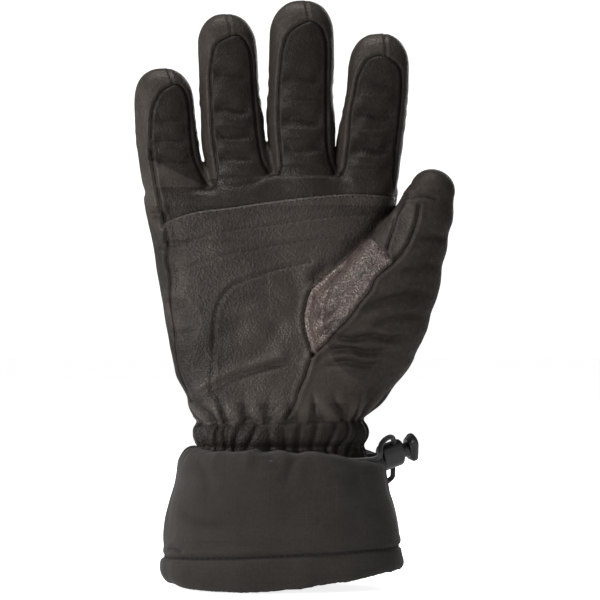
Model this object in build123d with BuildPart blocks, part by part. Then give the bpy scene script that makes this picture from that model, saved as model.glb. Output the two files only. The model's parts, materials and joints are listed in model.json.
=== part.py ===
from build123d import *
import math
import os

# Right-hand ski glove: panelled shell, padding and lining, gauntlet cuff, drawcord and cord lock.
#
# Frame: millimetres, +Z from the cuff opening towards the fingertips, -Y is the palm side,
# +X is the thumb side. The origin is the centre of the cuff opening on the hem's lower face.

os.makedirs("parts", exist_ok=True)

# ---------------------------------------------------------------- layers and folds
SKIN = 1.2              # outer shell fabric and leather
GAP = 0.25              # clearance between neighbouring layers and panels
FINGER_LINER = 3.4      # bonded padding and lining inside a finger
PAD = 3.0               # padding sheet in the hand and the cuff
MEMBRANE = 0.35         # waterproof insert
LINING = 0.8            # fleece lining
PATCH = 1.0             # reinforcement on the palm
TAPE = 1.2              # wrist elastics
JOINT_GAP = 1.2         # running gap round every fold line

# depths of the layers' outer faces below the shell's outer face
PAD_DEPTH = SKIN + GAP
INSERT_DEPTH = PAD_DEPTH + PAD + GAP                # hand membrane, cuff lining
HAND_LINING_DEPTH = INSERT_DEPTH + MEMBRANE + GAP

# ---------------------------------------------------------------- fingers
# x, z: base fold; lean: degrees towards the thumb; mid, tip: distances from the base fold;
# half_widths, half_depths: at the base, the middle fold and the tip shoulder
FINGERS = {
    "little": dict(x=-52.3, z=195.5, lean=-3.9, mid=25.5, tip=56.2,
                   half_widths=(14.8, 14.4, 13.0), half_depths=(12.0, 11.6, 10.6)),
    "ring": dict(x=-21.6, z=199.5, lean=-3.2, mid=35.5, tip=78.0,
                 half_widths=(14.5, 14.8, 13.9), half_depths=(12.4, 12.0, 11.0)),
    "middle": dict(x=10.9, z=199.5, lean=-1.2, mid=38.5, tip=84.2,
                   half_widths=(14.5, 15.6, 14.9), half_depths=(12.6, 12.2, 11.4)),
    "index": dict(x=41.9, z=198.5, lean=4.6, mid=32.0, tip=70.0,
                  half_widths=(14.3, 15.2, 13.8), half_depths=(12.5, 12.0, 11.0)),
}
FINGER_ROOT = 15.0      # length of the tube below the base fold
FINGER_SHOULDER = 13.0  # tip to the start of the rounded end
CURL = 0.0009           # sweep of a finger towards the palm: CURL * distance squared
FINGER_SEAM = 0.66      # palm panel's share of a finger's half width
FINGER_ARCH = 1.15      # height of the palm panel's arched end over its half width
FINGER_PALM_END = 9.4   # tip to the top of the palm panel
BACK_SEAM_Y = 6.5       # back panel starts this far behind a finger's middle

# rounded end: fractions of the way from shoulder to tip, and the curve's exponent
TIP_STATIONS = (0.36, 0.62, 0.8, 0.92, 0.985)
TIP_POWER = 2.3

# ---------------------------------------------------------------- thumb
THUMB_BASE = Vector(50.0, -10.0, 128.0)              # centre of the base fold
THUMB_UP = Vector(0.319, -0.136, 0.938).normalized()


def square_to(vector, unit):
    """Unit vector along the part of vector that is square to unit."""
    return (vector - unit * vector.dot(unit)).normalized()


THUMB_HINGE = square_to(Vector(-0.752, 0.527, 0.395), THUMB_UP)
THUMB_ACROSS = THUMB_UP.cross(THUMB_HINGE)           # towards the palm, the flexing side
THUMB_INWARD = square_to(Vector(-0.72, -0.62, 0.0), THUMB_UP)   # faces the palm and index finger
THUMB_MID = 37.0        # base fold to middle fold
THUMB_TIP = 80.0
THUMB_BASE_R = 16.6     # rounded lower end at the base fold
THUMB_MID_R = 15.2      # rounded lower end at the middle fold
THUMB_BASE_RY = 15.2    # half size along the hinge at the base fold
# distance from the base fold, half size across, half size along the hinge
THUMB_BODY = [
    (-17.5, 16.0, THUMB_BASE_RY),
    (0.0, 16.0, THUMB_BASE_RY),
    (17.0, 15.8, 15.0),
    (THUMB_MID, THUMB_MID_R, 14.4),
    (THUMB_TIP - 14.0, 13.6, 12.8),
]
THUMB_SEAM = 10.4       # half width of the inner panel
THUMB_ARCH = 12.0       # height of its arched end
THUMB_PALM_END = 8.0    # tip to the top of the inner panel
THUMB_RELIEF = 50.0     # degrees below the middle fold where the flexing side is opened
THUMB_FLEX, THUMB_SPREAD = 32.0, 12.0                # swing about the base fold, degrees

# ---------------------------------------------------------------- hand and wrist
WRIST_Z = 77.0          # wrist fold axis
WRIST_R = 23.2          # rounded lower end of the hand section
CASING_TOP = 88.5       # wrist casing below, palm and back panels above
HAND_BACK_SEAM_Y = 3.0
TAPE_Z = (71.0, 86.0)   # both wrist elastics
TAPE_SPLIT_Z = (77.0, 80.0)                          # space between them
MIN_PIECE = 50.0        # volume below which a side gusset offcut is removed

# height, centre x, width, depth
HAND = [
    (60.0, -0.5, 82.0, 46.0),
    (77.0, -0.5, 82.0, 46.0),
    (88.0, 1.0, 94.0, 44.0),
    (99.0, 3.5, 108.0, 41.0),
    (112.0, 7.0, 121.0, 38.5),
    (124.0, 7.5, 126.0, 37.0),
    (138.0, 1.0, 117.0, 36.0),
    (152.0, -3.0, 115.0, 35.5),
    (172.0, -5.0, 119.0, 33.5),
    (190.0, -5.6, 122.0, 30.5),
    (212.0, -5.6, 122.0, 29.0),
]

# palm panel outline, (x, z): curved seam on the little finger side, straight runs on the thumb side
LITTLE_SEAM = [
    (-52.0, 84.0), (-50.5, 108.0), (-53.0, 135.0), (-55.5, 160.0), (-58.5, 180.0), (-60.5, 205.0),
]
THUMB_SIDE = [(49.5, 205.0), (49.5, 150.0), (62.0, 120.0), (46.0, 84.0)]

# reinforcement patch outline, (x, z): curved upper edge, then straight runs back to its start
PATCH_TOP = [(-55.5, 172.5), (-36.0, 179.0), (-10.0, 182.2), (17.0, 184.4), (47.0, 184.0)]
PATCH_REST = [
    (44.0, 160.0), (24.0, 142.0), (13.0, 132.0), (12.0, 118.0), (15.5, 108.5),
    (9.0, 92.0), (-46.0, 92.0), (-50.0, 110.0), (-52.0, 135.0), (-54.0, 155.0),
]

# ---------------------------------------------------------------- cuff
# height, half width, half depth
CUFF = [
    (12.0, 57.4, 37.4),
    (28.0, 55.4, 36.9),
    (44.0, 53.2, 36.3),
    (58.0, 50.8, 35.7),
    (68.0, 48.4, 35.0),
]
CUFF_PAD_TOP = 61.5
HEM_TOP = 12.8
HEM_RX, HEM_RY = 58.6, 38.2
HEM_WALL = 6.6
HEM_ROUND = 2.2

# ---------------------------------------------------------------- cord lock and drawcord
LOCK_FOOT = Vector(47.2, 14.5, 63.5)                 # on the cuff
LOCK_AXIS = Vector(0.88, 0.36, 0.30).normalized()    # press axis, outwards
CORD_DIR = square_to(Vector(0, -0.63, 0.77), LOCK_AXIS)   # through the lock, upwards
BARREL_L, BARREL_W, BARREL_H = 12.0, 15.0, 10.4
BARREL_FLOOR = 1.2
BORE_R, STEM_R = 3.5, 3.42
STEM_START = 4.9        # stem's inner end above the foot
CORD_AT = 7.6           # cord hole above the foot
CORD_R, CORD_HOLE_R = 1.25, 1.6
NOTCH_R = CORD_R + 0.25
NECK = 3.2              # barrel mouth to head
HEAD_AT = BARREL_L + NECK
HEAD_L = 4.4
HEAD_FLARE = 2.4        # part of the head that widens
HEAD_RIM = (15.0, 8.8, 3.8)                          # width, height, corner radius
PRESS = 2.6             # press travel
SPRING_R, SPRING_WIRE_R = 2.4, 0.28

RING_Z, RING_RX, RING_RY = 64.6, 46.25, 32.2         # cord's ring inside the cuff
LOCK_SLIDE = 5.0
lock_centre = LOCK_FOOT + LOCK_AXIS * CORD_AT
run_top = lock_centre + CORD_DIR * 8.0
run_low = lock_centre - CORD_DIR * (8.6 + LOCK_SLIDE)
tail_end = Vector(46.6, 27.4, 47.0)
END_R, END_L, END_ROUND = 2.4, 6.0, 1.2


# ================================================================ shared helpers
def save(part, name):
    part.label = name
    export_step(part, f"parts/{name}.step")


def trim(body, keep=(), cut=(), min_volume=0.0):
    """Body within every keep part, less every cut part and any solid under min_volume."""
    with BuildPart() as piece:
        add(body)
        for part in keep:
            add(part, mode=Mode.INTERSECT)
        for part in cut:
            add(part, mode=Mode.SUBTRACT)
        for offcut in [s for s in piece.solids() if s.volume < min_volume]:
            add(offcut, mode=Mode.SUBTRACT)
    return piece.part


def layer(hull, depth, thickness):
    """Sheet between two insets of the same hull."""
    return trim(hull(depth), cut=[hull(depth + thickness)])


def loft_ellipses(sections):
    """Ruled loft through (plane, x radius, y radius) sections."""
    with BuildPart() as body:
        for plane, rx, ry in sections:
            with BuildSketch(plane):
                Ellipse(rx, ry)
        loft(ruled=True)
    return body.part


def close_tip(body, tip, inset):
    """Inset (distance, rx, ry) stations of a tube, with a rounded end after the last one."""
    shoulder, end_rx, end_ry = body[-1]
    reach = tip - inset - shoulder
    stations = [(s, rx - inset, ry - inset) for s, rx, ry in body]
    for q in TIP_STATIONS:
        scale = (1 - q**TIP_POWER) ** (1 / TIP_POWER)
        stations.append((shoulder + reach * q, (end_rx - inset) * scale, (end_ry - inset) * scale))
    return stations


def arched_face(plane, half_width, arch, top, extra):
    """Block over a digit's palm panel: straight sides up to an elliptical end."""
    arch_base = top - arch
    with BuildPart() as face:
        with BuildSketch(plane):
            with Locations((0, arch_base / 2 - 15)):
                Rectangle(2 * (half_width + extra), arch_base + 30)
            with Locations((0, arch_base)):
                Ellipse(half_width + extra, arch + extra)
        extrude(amount=40)
    return face.part


def zone(z_low, z_high):
    """Everything between two heights."""
    with BuildPart() as slab:
        with BuildSketch(Plane.XY.offset(z_low)):
            Rectangle(260, 160)
        extrude(amount=z_high - z_low)
    return slab.part


# ================================================================ fingers
def finger_profile(side, which, mid, mid_y, base_r, mid_r):
    """One rigid length of a finger; sketch x is depth, sketch y runs up the finger."""
    with BuildPart() as keep:
        with BuildSketch(side):
            if which == "base":
                with Locations((0, mid / 2)):
                    Rectangle(60, mid)
                Circle(base_r)
                with Locations((mid_y, mid)):
                    Circle(mid_r + JOINT_GAP, mode=Mode.SUBTRACT)
                # the palm side is opened for the tip to fold
                with Locations((mid_y - 15, mid)):
                    Rectangle(30, 2 * (mid_r + JOINT_GAP), mode=Mode.SUBTRACT)
            else:
                with Locations((0, mid + 45)):
                    Rectangle(70, 90)
                with Locations((mid_y, mid)):
                    Circle(mid_r)
        extrude(amount=30, both=True)
    return keep.part


def finger_back(side, extra):
    """Block over a finger's back panel."""
    with BuildPart() as face:
        with BuildSketch(side):
            with Locations((BACK_SEAM_Y - extra + 20, 40)):
                Rectangle(40, 160)
        extrude(amount=30, both=True)
    return face.part


def make_finger(name, x, z, lean, mid, tip, half_widths, half_depths):
    angle = math.radians(lean)
    across = Vector(math.cos(angle), 0, -math.sin(angle))
    up = Vector(math.sin(angle), 0, math.cos(angle))
    base = Vector(x, 0, z)
    side = Plane(origin=base, x_dir=(0, 1, 0), z_dir=across)
    front = Plane(origin=base, x_dir=across, z_dir=(0, -1, 0))
    w_base, w_mid, w_tip = half_widths
    d_base, d_mid, d_tip = half_depths
    body = [
        (-FINGER_ROOT, w_base, d_base),
        (0.0, w_base, d_base),
        (mid * 0.55, (w_base + w_mid) / 2, (d_base + d_mid) / 2),
        (mid, w_mid, d_mid),
        (tip - FINGER_SHOULDER, w_tip, d_tip),
    ]

    def sweep_y(s):
        return -CURL * max(s, 0.0) ** 2

    def hull(inset):
        return loft_ellipses([
            (Plane(origin=base + up * s + Vector(0, sweep_y(s), 0), x_dir=across, z_dir=up), rx, ry)
            for s, rx, ry in close_tip(body, tip, inset)
        ])

    skin = layer(hull, 0.0, SKIN)
    bonded = layer(hull, SKIN + GAP, FINGER_LINER)
    seam = FINGER_SEAM * w_mid
    palm, palm_wide = [
        arched_face(front, seam, FINGER_ARCH * seam, tip - FINGER_PALM_END, extra)
        for extra in (0.0, GAP)
    ]
    back, back_wide = finger_back(side, 0.0), finger_back(side, GAP)
    for which in ("base", "tip"):
        keep = finger_profile(side, which, mid, sweep_y(mid), d_base, d_mid)
        length = trim(skin, keep=[keep])
        save(trim(length, keep=[palm]), f"{name}_{which}_palm")
        save(trim(length, keep=[back]), f"{name}_{which}_back")
        save(trim(length, cut=[palm_wide, back_wide]), f"{name}_{which}_gusset")
        save(trim(bonded, keep=[keep]), f"{name}_{which}_liner")


for finger_name, finger in FINGERS.items():
    make_finger(finger_name, **finger)

# ================================================================ thumb
# fold plane: sketch x runs towards the flexing side, sketch y along the thumb
thumb_side = Plane(origin=THUMB_BASE, x_dir=THUMB_ACROSS, z_dir=THUMB_HINGE)
thumb_front = Plane(origin=THUMB_BASE, x_dir=THUMB_UP.cross(THUMB_INWARD), z_dir=THUMB_INWARD)


def thumb_hull(inset):
    return loft_ellipses([
        (Plane(origin=THUMB_BASE + THUMB_UP * s, x_dir=THUMB_ACROSS, z_dir=THUMB_UP), rx, ry)
        for s, rx, ry in close_tip(THUMB_BODY, THUMB_TIP, inset)
    ])


def thumb_profile(which):
    """One rigid length of the thumb, as a side profile."""
    clear_r = THUMB_MID_R + JOINT_GAP
    relief = math.radians(THUMB_RELIEF)
    relief_x, relief_y = clear_r * math.cos(relief), THUMB_MID - clear_r * math.sin(relief)
    with BuildPart() as keep:
        with BuildSketch(thumb_side):
            if which == "base":
                with Locations((0, THUMB_MID / 2)):
                    Rectangle(60, THUMB_MID)
                Circle(THUMB_BASE_R)
                with Locations((0, THUMB_MID)):
                    Circle(clear_r, mode=Mode.SUBTRACT)
                # the flexing side is opened so that the tip can fold over it
                with BuildLine():
                    Polyline(
                        (0, THUMB_MID),
                        (relief_x, relief_y),
                        (relief_x + 40 * math.sin(relief), relief_y + 40 * math.cos(relief)),
                        (0, THUMB_MID + 40),
                        close=True,
                    )
                make_face(mode=Mode.SUBTRACT)
            else:
                with Locations((0, THUMB_MID + 40)):
                    Rectangle(60, 80)
                with Locations((0, THUMB_MID)):
                    Circle(THUMB_MID_R)
        extrude(amount=30, both=True)
    return keep.part


def make_thumb():
    skin = layer(thumb_hull, 0.0, SKIN)
    bonded = layer(thumb_hull, SKIN + GAP, FINGER_LINER)
    inner, inner_wide = [
        arched_face(thumb_front, THUMB_SEAM, THUMB_ARCH, THUMB_TIP - THUMB_PALM_END, extra)
        for extra in (0.0, GAP)
    ]
    for which, inner_name in (("base", "thumb_leather_gusset"), ("tip", "thumb_tip_palm")):
        keep = thumb_profile(which)
        save(trim(skin, keep=[keep, inner]), inner_name)
        save(trim(skin, keep=[keep], cut=[inner_wide]), f"thumb_{which}_outer")
        save(trim(bonded, keep=[keep]), f"thumb_{which}_liner")


def thumb_room():
    """Room that the thumb needs in the hand as it swings."""
    clear_r = THUMB_BASE_R + JOINT_GAP
    flex, spread = math.radians(THUMB_FLEX), math.radians(THUMB_SPREAD)
    flexed = Vector(math.sin(flex), math.cos(flex))
    opened = Vector(-math.sin(spread), math.cos(spread))
    flexed_edge = Vector(flexed.Y, -flexed.X) * clear_r
    opened_edge = Vector(-opened.Y, opened.X) * clear_r
    with BuildPart() as room:
        with BuildSketch(thumb_side):
            Circle(clear_r)
            with BuildLine():
                Polyline(
                    (0, 0),
                    flexed_edge,
                    flexed_edge + flexed * 110,
                    opened_edge + opened * 110,
                    opened_edge,
                    close=True,
                )
            make_face()
        extrude(amount=THUMB_BASE_RY + JOINT_GAP, both=True)
    return room.part


make_thumb()


# ================================================================ hand
def hand_hull(inset):
    with BuildPart() as body:
        for z, centre_x, width, depth in HAND:
            with BuildSketch(Plane.XY.offset(z)):
                with Locations((centre_x, 0)):
                    SlotOverall(width - 2 * inset, depth - 2 * inset)
        loft(ruled=True)
    return body.part


def hand_limits():
    """Space above the rounded wrist end, below the finger folds and clear of the thumb."""
    room = thumb_room()
    base_xs = [f["x"] for f in FINGERS.values()]
    borders = [-90.0, *[(a + b) / 2 for a, b in zip(base_xs, base_xs[1:])], 90.0]
    with BuildPart() as keep:
        with BuildSketch(Plane.YZ):
            with Locations((0, WRIST_Z + 70)):
                Rectangle(80, 140)
            with Locations((0, WRIST_Z)):
                Circle(WRIST_R)
            # flattens the rounded end from below
            with Locations((0, 57.0)):
                Rectangle(80, 20.4, mode=Mode.SUBTRACT)
        extrude(amount=90, both=True)
        for f, x_low, x_high in zip(FINGERS.values(), borders, borders[1:]):
            fold_r = f["half_depths"][0] + JOINT_GAP
            with BuildSketch(Plane.YZ.offset(x_low)):
                with Locations((0, f["z"])):
                    Circle(fold_r)
                with Locations((-40, f["z"] + 30)):
                    Rectangle(80, 2 * (fold_r + 30))
                with Locations((0, f["z"] + 48)):
                    Rectangle(120, 100)
            extrude(amount=x_high - x_low, mode=Mode.SUBTRACT)
        add(room, mode=Mode.SUBTRACT)
    return keep.part


# seen from the palm side: sketch x is +X, sketch y is +Z
palm_view = Plane(origin=(0, 0, 0), x_dir=(1, 0, 0), z_dir=(0, -1, 0))


def palm_region(extra):
    little_side = [(x - extra, z) for x, z in LITTLE_SEAM]
    thumb_edge = [(x + extra, z) for x, z in THUMB_SIDE]
    with BuildPart() as region:
        with BuildSketch(palm_view):
            with BuildLine():
                Spline(little_side)
                Polyline(little_side[-1], *thumb_edge, little_side[0])
            make_face()
        extrude(amount=60)
    return region.part


def back_region(extra):
    with BuildPart() as region:
        with BuildSketch(Plane.XZ.offset(-(HAND_BACK_SEAM_Y - extra))):
            with Locations((0, 140)):
                Rectangle(220, 160)
        extrude(amount=-60)
    return region.part


limits = hand_limits()
hand_skin = layer(hand_hull, 0.0, SKIN)
above_casing = zone(CASING_TOP, 230)

palm_panel = trim(hand_skin, keep=[limits, above_casing, palm_region(0.0)])
save(palm_panel, "palm_panel")

back_panel = trim(hand_skin, keep=[limits, above_casing, back_region(0.0)])
save(back_panel, "back_panel")

side_gusset = trim(
    hand_skin,
    keep=[limits, above_casing],
    cut=[palm_region(GAP), back_region(GAP)],
    min_volume=MIN_PIECE,
)
save(side_gusset, "side_gusset")

# reinforcement patch: lies on the palm panel
patch_sheet = trim(layer(hand_hull, -GAP - PATCH, PATCH), keep=[limits])
with BuildPart() as palm_patch:
    add(patch_sheet)
    with BuildSketch(palm_view):
        with BuildLine():
            Spline(*PATCH_TOP)
            Polyline(PATCH_TOP[-1], *PATCH_REST, PATCH_TOP[0])
        make_face()
    extrude(amount=60, mode=Mode.INTERSECT)
save(palm_patch.part, "palm_patch")

hand_insulation = trim(
    layer(hand_hull, PAD_DEPTH, PAD),
    keep=[limits, zone(CASING_TOP + 1.0, 230)],
)
save(hand_insulation, "hand_insulation")

save(trim(layer(hand_hull, INSERT_DEPTH, MEMBRANE), keep=[limits]), "hand_membrane")
save(trim(layer(hand_hull, HAND_LINING_DEPTH, LINING), keep=[limits]), "hand_lining")

wrist_casing = trim(hand_skin, keep=[limits, zone(60.0, CASING_TOP - GAP)])
save(wrist_casing, "wrist_casing")

# two bands inside the casing
wrist_elastics = trim(
    layer(hand_hull, PAD_DEPTH, TAPE),
    keep=[limits, zone(*TAPE_Z)],
    cut=[zone(*TAPE_SPLIT_Z)],
)
save(wrist_elastics, "wrist_elastics")

# ================================================================ drawcord
# round inside the cuff's top, over its edge, down through the lock to the cord end
with BuildPart() as drawcord:
    with BuildLine():
        ring = EllipticalCenterArc((0, 0, RING_Z), RING_RX, RING_RY, start_angle=-26, arc_size=-306)
        over = Spline(
            run_top,
            run_top + Vector(-2.6, -6.4, 2.4),
            (47.4, -1.2, 70.8),
            ring @ 0,
            tangents=[CORD_DIR, ring % 0],
        )
        Line(run_low, run_top)
        tail = Spline(
            tail_end,
            run_low,
            tangents=[Vector(0.25, 0.1, 0.96).normalized(), CORD_DIR],
        )
    with BuildSketch(Plane(origin=tail @ 0, z_dir=tail % 0)):
        Circle(CORD_R)
    sweep()
save(drawcord.part, "drawcord")

# widened path that the cord passes through at the cuff's top edge
with BuildPart() as cord_notch:
    with BuildLine():
        add(over)
    with BuildSketch(Plane(origin=over @ 0, z_dir=over % 0)):
        Circle(NOTCH_R)
    sweep()

tail_dir = (tail % 0) * -1
with BuildPart() as cord_end:
    with BuildSketch(Plane(origin=tail_end - tail_dir * 0.4, z_dir=tail_dir)):
        Circle(END_R)
    extrude(amount=END_L)
    fillet(cord_end.edges().sort_by(Axis(tail_end, tail_dir))[-1], END_ROUND)
    # socket for the cord
    with BuildSketch(Plane(origin=tail_end - tail_dir * 1.0, z_dir=tail_dir)):
        Circle(CORD_R + 0.03)
    extrude(amount=1.02, mode=Mode.SUBTRACT)
save(cord_end.part, "cord_end")


# ================================================================ cuff
def cuff_hull(inset):
    return loft_ellipses([(Plane.XY.offset(z), rx - inset, ry - inset) for z, rx, ry in CUFF])


above_hem = zone(HEM_TOP + GAP, 80)

cuff_shell = trim(layer(cuff_hull, 0.0, SKIN), keep=[above_hem], cut=[cord_notch.part])
save(cuff_shell, "cuff_shell")

cuff_insulation = trim(
    layer(cuff_hull, PAD_DEPTH, PAD),
    keep=[zone(HEM_TOP + GAP, CUFF_PAD_TOP)],
)
save(cuff_insulation, "cuff_insulation")

save(trim(layer(cuff_hull, INSERT_DEPTH, LINING), keep=[above_hem]), "cuff_lining")

with BuildPart() as hem_band:
    with BuildSketch(Plane.XY):
        Ellipse(HEM_RX, HEM_RY)
        Ellipse(HEM_RX - HEM_WALL, HEM_RY - HEM_WALL, mode=Mode.SUBTRACT)
    extrude(amount=HEM_TOP)
    fillet(hem_band.edges(), HEM_ROUND)
save(hem_band.part, "hem_band")

# ================================================================ cord lock
lock_plane = Plane(origin=LOCK_FOOT, x_dir=CORD_DIR, z_dir=LOCK_AXIS)   # sketch x along the cord

with BuildPart() as lock_barrel:
    with BuildSketch(lock_plane):
        Ellipse(BARREL_W / 2, BARREL_H / 2)
    extrude(amount=BARREL_L)
    fillet(lock_barrel.edges(), 1.4)
    with BuildSketch(lock_plane.offset(BARREL_FLOOR)):
        Circle(BORE_R)
    extrude(amount=BARREL_L, mode=Mode.SUBTRACT)
    with BuildSketch(Plane(origin=lock_centre - CORD_DIR * 15, z_dir=CORD_DIR)):
        Circle(CORD_HOLE_R)
    extrude(amount=30, mode=Mode.SUBTRACT)
save(lock_barrel.part, "lock_barrel")

with BuildPart() as lock_plunger:
    # stem, running 0.5 into the head
    with BuildSketch(lock_plane.offset(STEM_START)):
        Circle(STEM_R)
    extrude(amount=HEAD_AT - STEM_START + 0.5)
    # head: flared, then straight
    with BuildSketch(lock_plane.offset(HEAD_AT)):
        RectangleRounded(10.6, 7.4, 3.0)
    with BuildSketch(lock_plane.offset(HEAD_AT + HEAD_FLARE)):
        RectangleRounded(*HEAD_RIM)
    loft()
    with BuildSketch(lock_plane.offset(HEAD_AT + HEAD_FLARE)):
        RectangleRounded(*HEAD_RIM)
    extrude(amount=HEAD_L - HEAD_FLARE)
    fillet(lock_plunger.faces().sort_by(Axis(LOCK_FOOT, LOCK_AXIS))[-1].edges(), 0.9)
    # slot that clears the cord over the whole press travel
    with BuildSketch(Plane(origin=LOCK_FOOT - CORD_DIR * 10, x_dir=LOCK_AXIS, z_dir=CORD_DIR)):
        with Locations((CORD_AT + PRESS / 2, 0)):
            SlotOverall(PRESS + 2 * CORD_HOLE_R + 0.1, 2 * CORD_HOLE_R)
    extrude(amount=20, mode=Mode.SUBTRACT)
save(lock_plunger.part, "lock_plunger")

with BuildPart() as lock_spring:
    with BuildLine():
        coil = Helix(
            pitch=1.0,
            height=2.7,
            radius=SPRING_R,
            center=LOCK_FOOT + LOCK_AXIS * 1.65,
            direction=LOCK_AXIS,
        )
    with BuildSketch(Plane(origin=coil @ 0, z_dir=coil % 0)):
        Circle(SPRING_WIRE_R)
    sweep()
save(lock_spring.part, "lock_spring")
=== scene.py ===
# A padded glove with a gathered wrist and a wide cuff, standing on its hem with the fingers up
# (+Z). The palm faces -Y, the front; the thumb is on the +X side, the little finger on the -X side.
# Shapes are worked out in mm and handed to Blender in metres.
import json
import math
from itertools import product
from types import SimpleNamespace

import bpy
import numpy as np
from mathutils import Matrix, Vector
from mathutils.bvhtree import BVHTree


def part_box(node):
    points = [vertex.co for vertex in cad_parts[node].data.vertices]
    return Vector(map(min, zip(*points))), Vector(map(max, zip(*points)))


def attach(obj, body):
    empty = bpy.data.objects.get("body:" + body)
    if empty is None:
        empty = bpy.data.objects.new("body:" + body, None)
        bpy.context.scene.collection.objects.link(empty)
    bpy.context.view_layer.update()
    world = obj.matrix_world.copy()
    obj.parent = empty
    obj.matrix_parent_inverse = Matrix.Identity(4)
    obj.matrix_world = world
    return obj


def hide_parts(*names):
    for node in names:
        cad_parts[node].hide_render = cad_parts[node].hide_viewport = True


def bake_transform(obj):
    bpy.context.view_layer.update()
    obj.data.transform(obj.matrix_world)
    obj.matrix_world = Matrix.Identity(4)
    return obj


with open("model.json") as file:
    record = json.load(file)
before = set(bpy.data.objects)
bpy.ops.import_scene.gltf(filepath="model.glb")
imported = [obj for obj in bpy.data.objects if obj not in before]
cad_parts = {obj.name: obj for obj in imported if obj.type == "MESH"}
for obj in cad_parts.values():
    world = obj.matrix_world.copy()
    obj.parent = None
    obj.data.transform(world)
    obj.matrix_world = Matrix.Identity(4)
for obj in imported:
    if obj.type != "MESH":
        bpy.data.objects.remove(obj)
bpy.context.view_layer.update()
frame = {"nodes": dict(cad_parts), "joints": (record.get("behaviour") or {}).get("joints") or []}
joints = {joint["name"]: joint for joint in frame["joints"]}

MM = 0.001
STEP = 0.7     # spacing of the grid the surface is drawn from
FORM_STEP = 1.5                       # the same for the padding of fingers and thumb
CAMERA_DISTANCE = 1500.0
CAMERA_X, CAMERA_Z = 8.64, 140.6
VIEW_WIDTH = 288.0                    # what the camera sees at y = 0
SENSOR_WIDTH = 36
CORNERS = list(product((0, 1), repeat=3))


# ---------------------------------------------------------------- tables and lines
def table(columns, text):
    """Numbers laid out as text, as rows of so many columns."""
    return np.array(text.split(), float).reshape(-1, columns)


def path(text):
    """A line in the front view, given as x z pairs."""
    return table(2, text)


def project(points):
    """Where points (n, 3) fall on the plane y = 0, seen from the camera, as x and z."""
    scale = CAMERA_DISTANCE / (CAMERA_DISTANCE + points[:, 1])
    return np.stack([CAMERA_X + (points[:, 0] - CAMERA_X) * scale,
                     CAMERA_Z + (points[:, 2] - CAMERA_Z) * scale], 1)


def smooth_curve(line, step=1.2):
    """Catmull-Rom curve through the points of a line; two points stay a straight line."""
    line = np.asarray(line, float)
    if len(line) < 3:
        return line
    ends = np.vstack([2 * line[0] - line[1], line, 2 * line[-1] - line[-2]])
    out = []
    for i in range(1, len(ends) - 2):
        count = max(1, int(np.linalg.norm(ends[i + 1] - ends[i]) / step))
        before, here, after, beyond = ends[i - 1:i + 3]
        for t in np.arange(count) / count:
            out.append(0.5 * (2 * here + (after - before) * t
                              + (2 * before - 5 * here + 4 * after - beyond) * t**2
                              + (3 * here - before - 3 * after + beyond) * t**3))
    out.append(line[-1])
    return np.array(out)


def near_line(line, points):
    """Distance of points (n, 2) from a smoothed line, and the side they lie on (-1 or 1)."""
    line = smooth_curve(line)
    distance, side = np.full(len(points), 1e9), np.zeros(len(points))
    lo, hi = line.min(0) - 8, line.max(0) + 8       # farther off, the line has no effect
    close = np.where(((points > lo) & (points < hi)).all(1))[0]
    if not len(close):
        return distance, side
    inner = points[close]
    best, best_side = distance[close], side[close]
    for a, b in zip(line, line[1:]):
        along = b - a
        share = np.clip(((inner - a) @ along) / (along @ along), 0, 1)
        off = inner - a - share[:, None] * along
        gap = np.hypot(off[:, 0], off[:, 1])
        sign = np.sign(along[0] * off[:, 1] - along[1] * off[:, 0])
        nearer = gap < best
        best = np.where(nearer, gap, best)
        best_side = np.where(nearer, sign, best_side)
    distance[close], side[close] = best, best_side
    return distance, side


def in_polygon(points, polygon):
    px, pz = points.T
    inside = np.zeros(len(points), bool)
    for a, b in zip(polygon, np.roll(polygon, -1, 0)):
        crosses = (a[1] > pz) != (b[1] > pz)
        inside ^= crosses & (px < (b[0] - a[0]) * (pz - a[1]) / (b[1] - a[1] + 1e-12) + a[0])
    return inside


# ---------------------------------------------------------------- smooth functions
def sstep(value, start, end):
    """0 at start, 1 at end, eased between; start may lie above end."""
    t = np.clip((value - start) / (end - start), 0, 1)
    return t * t * (3 - 2 * t)


def bell(value, width):
    return np.exp(-(value / width) ** 2)


def smin(a, b, radius):
    h = np.clip(0.5 + 0.5 * (b - a) / radius, 0, 1)
    return b + (a - b) * h - radius * h * (1 - h)


def smax(a, b, radius):
    return -smin(-a, -b, radius)


def station(z, rows, column):
    """A column of a table read at z by cubic Hermite interpolation; z is its first column."""
    at, values = rows[:, 0], rows[:, column]
    slope = np.gradient(values, at)
    i = np.clip(np.searchsorted(at, z) - 1, 0, len(at) - 2)
    gap = at[i + 1] - at[i]
    t = np.clip((z - at[i]) / gap, 0, 1)
    return ((2 * t**3 - 3 * t**2 + 1) * values[i] + (t**3 - 2 * t**2 + t) * gap * slope[i]
            + (-2 * t**3 + 3 * t**2) * values[i + 1] + (t**3 - t**2) * gap * slope[i + 1])


def hash01(ix, iy, iz, seed):
    n = (ix * 374761393 + iy * 668265263 + iz * 2147483647 + seed * 974711) & 0xFFFFFFFF
    n = ((n ^ (n >> 13)) * 1274126177) & 0xFFFFFFFF
    n = n ^ (n >> 16)
    return (n & 0xFFFF) / 65535.0


def noise(points, scale, seed):
    """Smooth value noise in -1..1 at points (n, 3); scale may be a number or three."""
    cell = points / np.array(scale, float)
    i = np.floor(cell).astype(np.int64)
    f = cell - i
    f = f * f * (3 - 2 * f)
    out = 0
    for corner in CORNERS:
        weight = 1
        for axis, far in enumerate(corner):
            weight = weight * (f[:, axis] if far else 1 - f[:, axis])
        out = out + weight * hash01(*(i[:, a] + corner[a] for a in range(3)), seed)
    return out * 2 - 1


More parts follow.
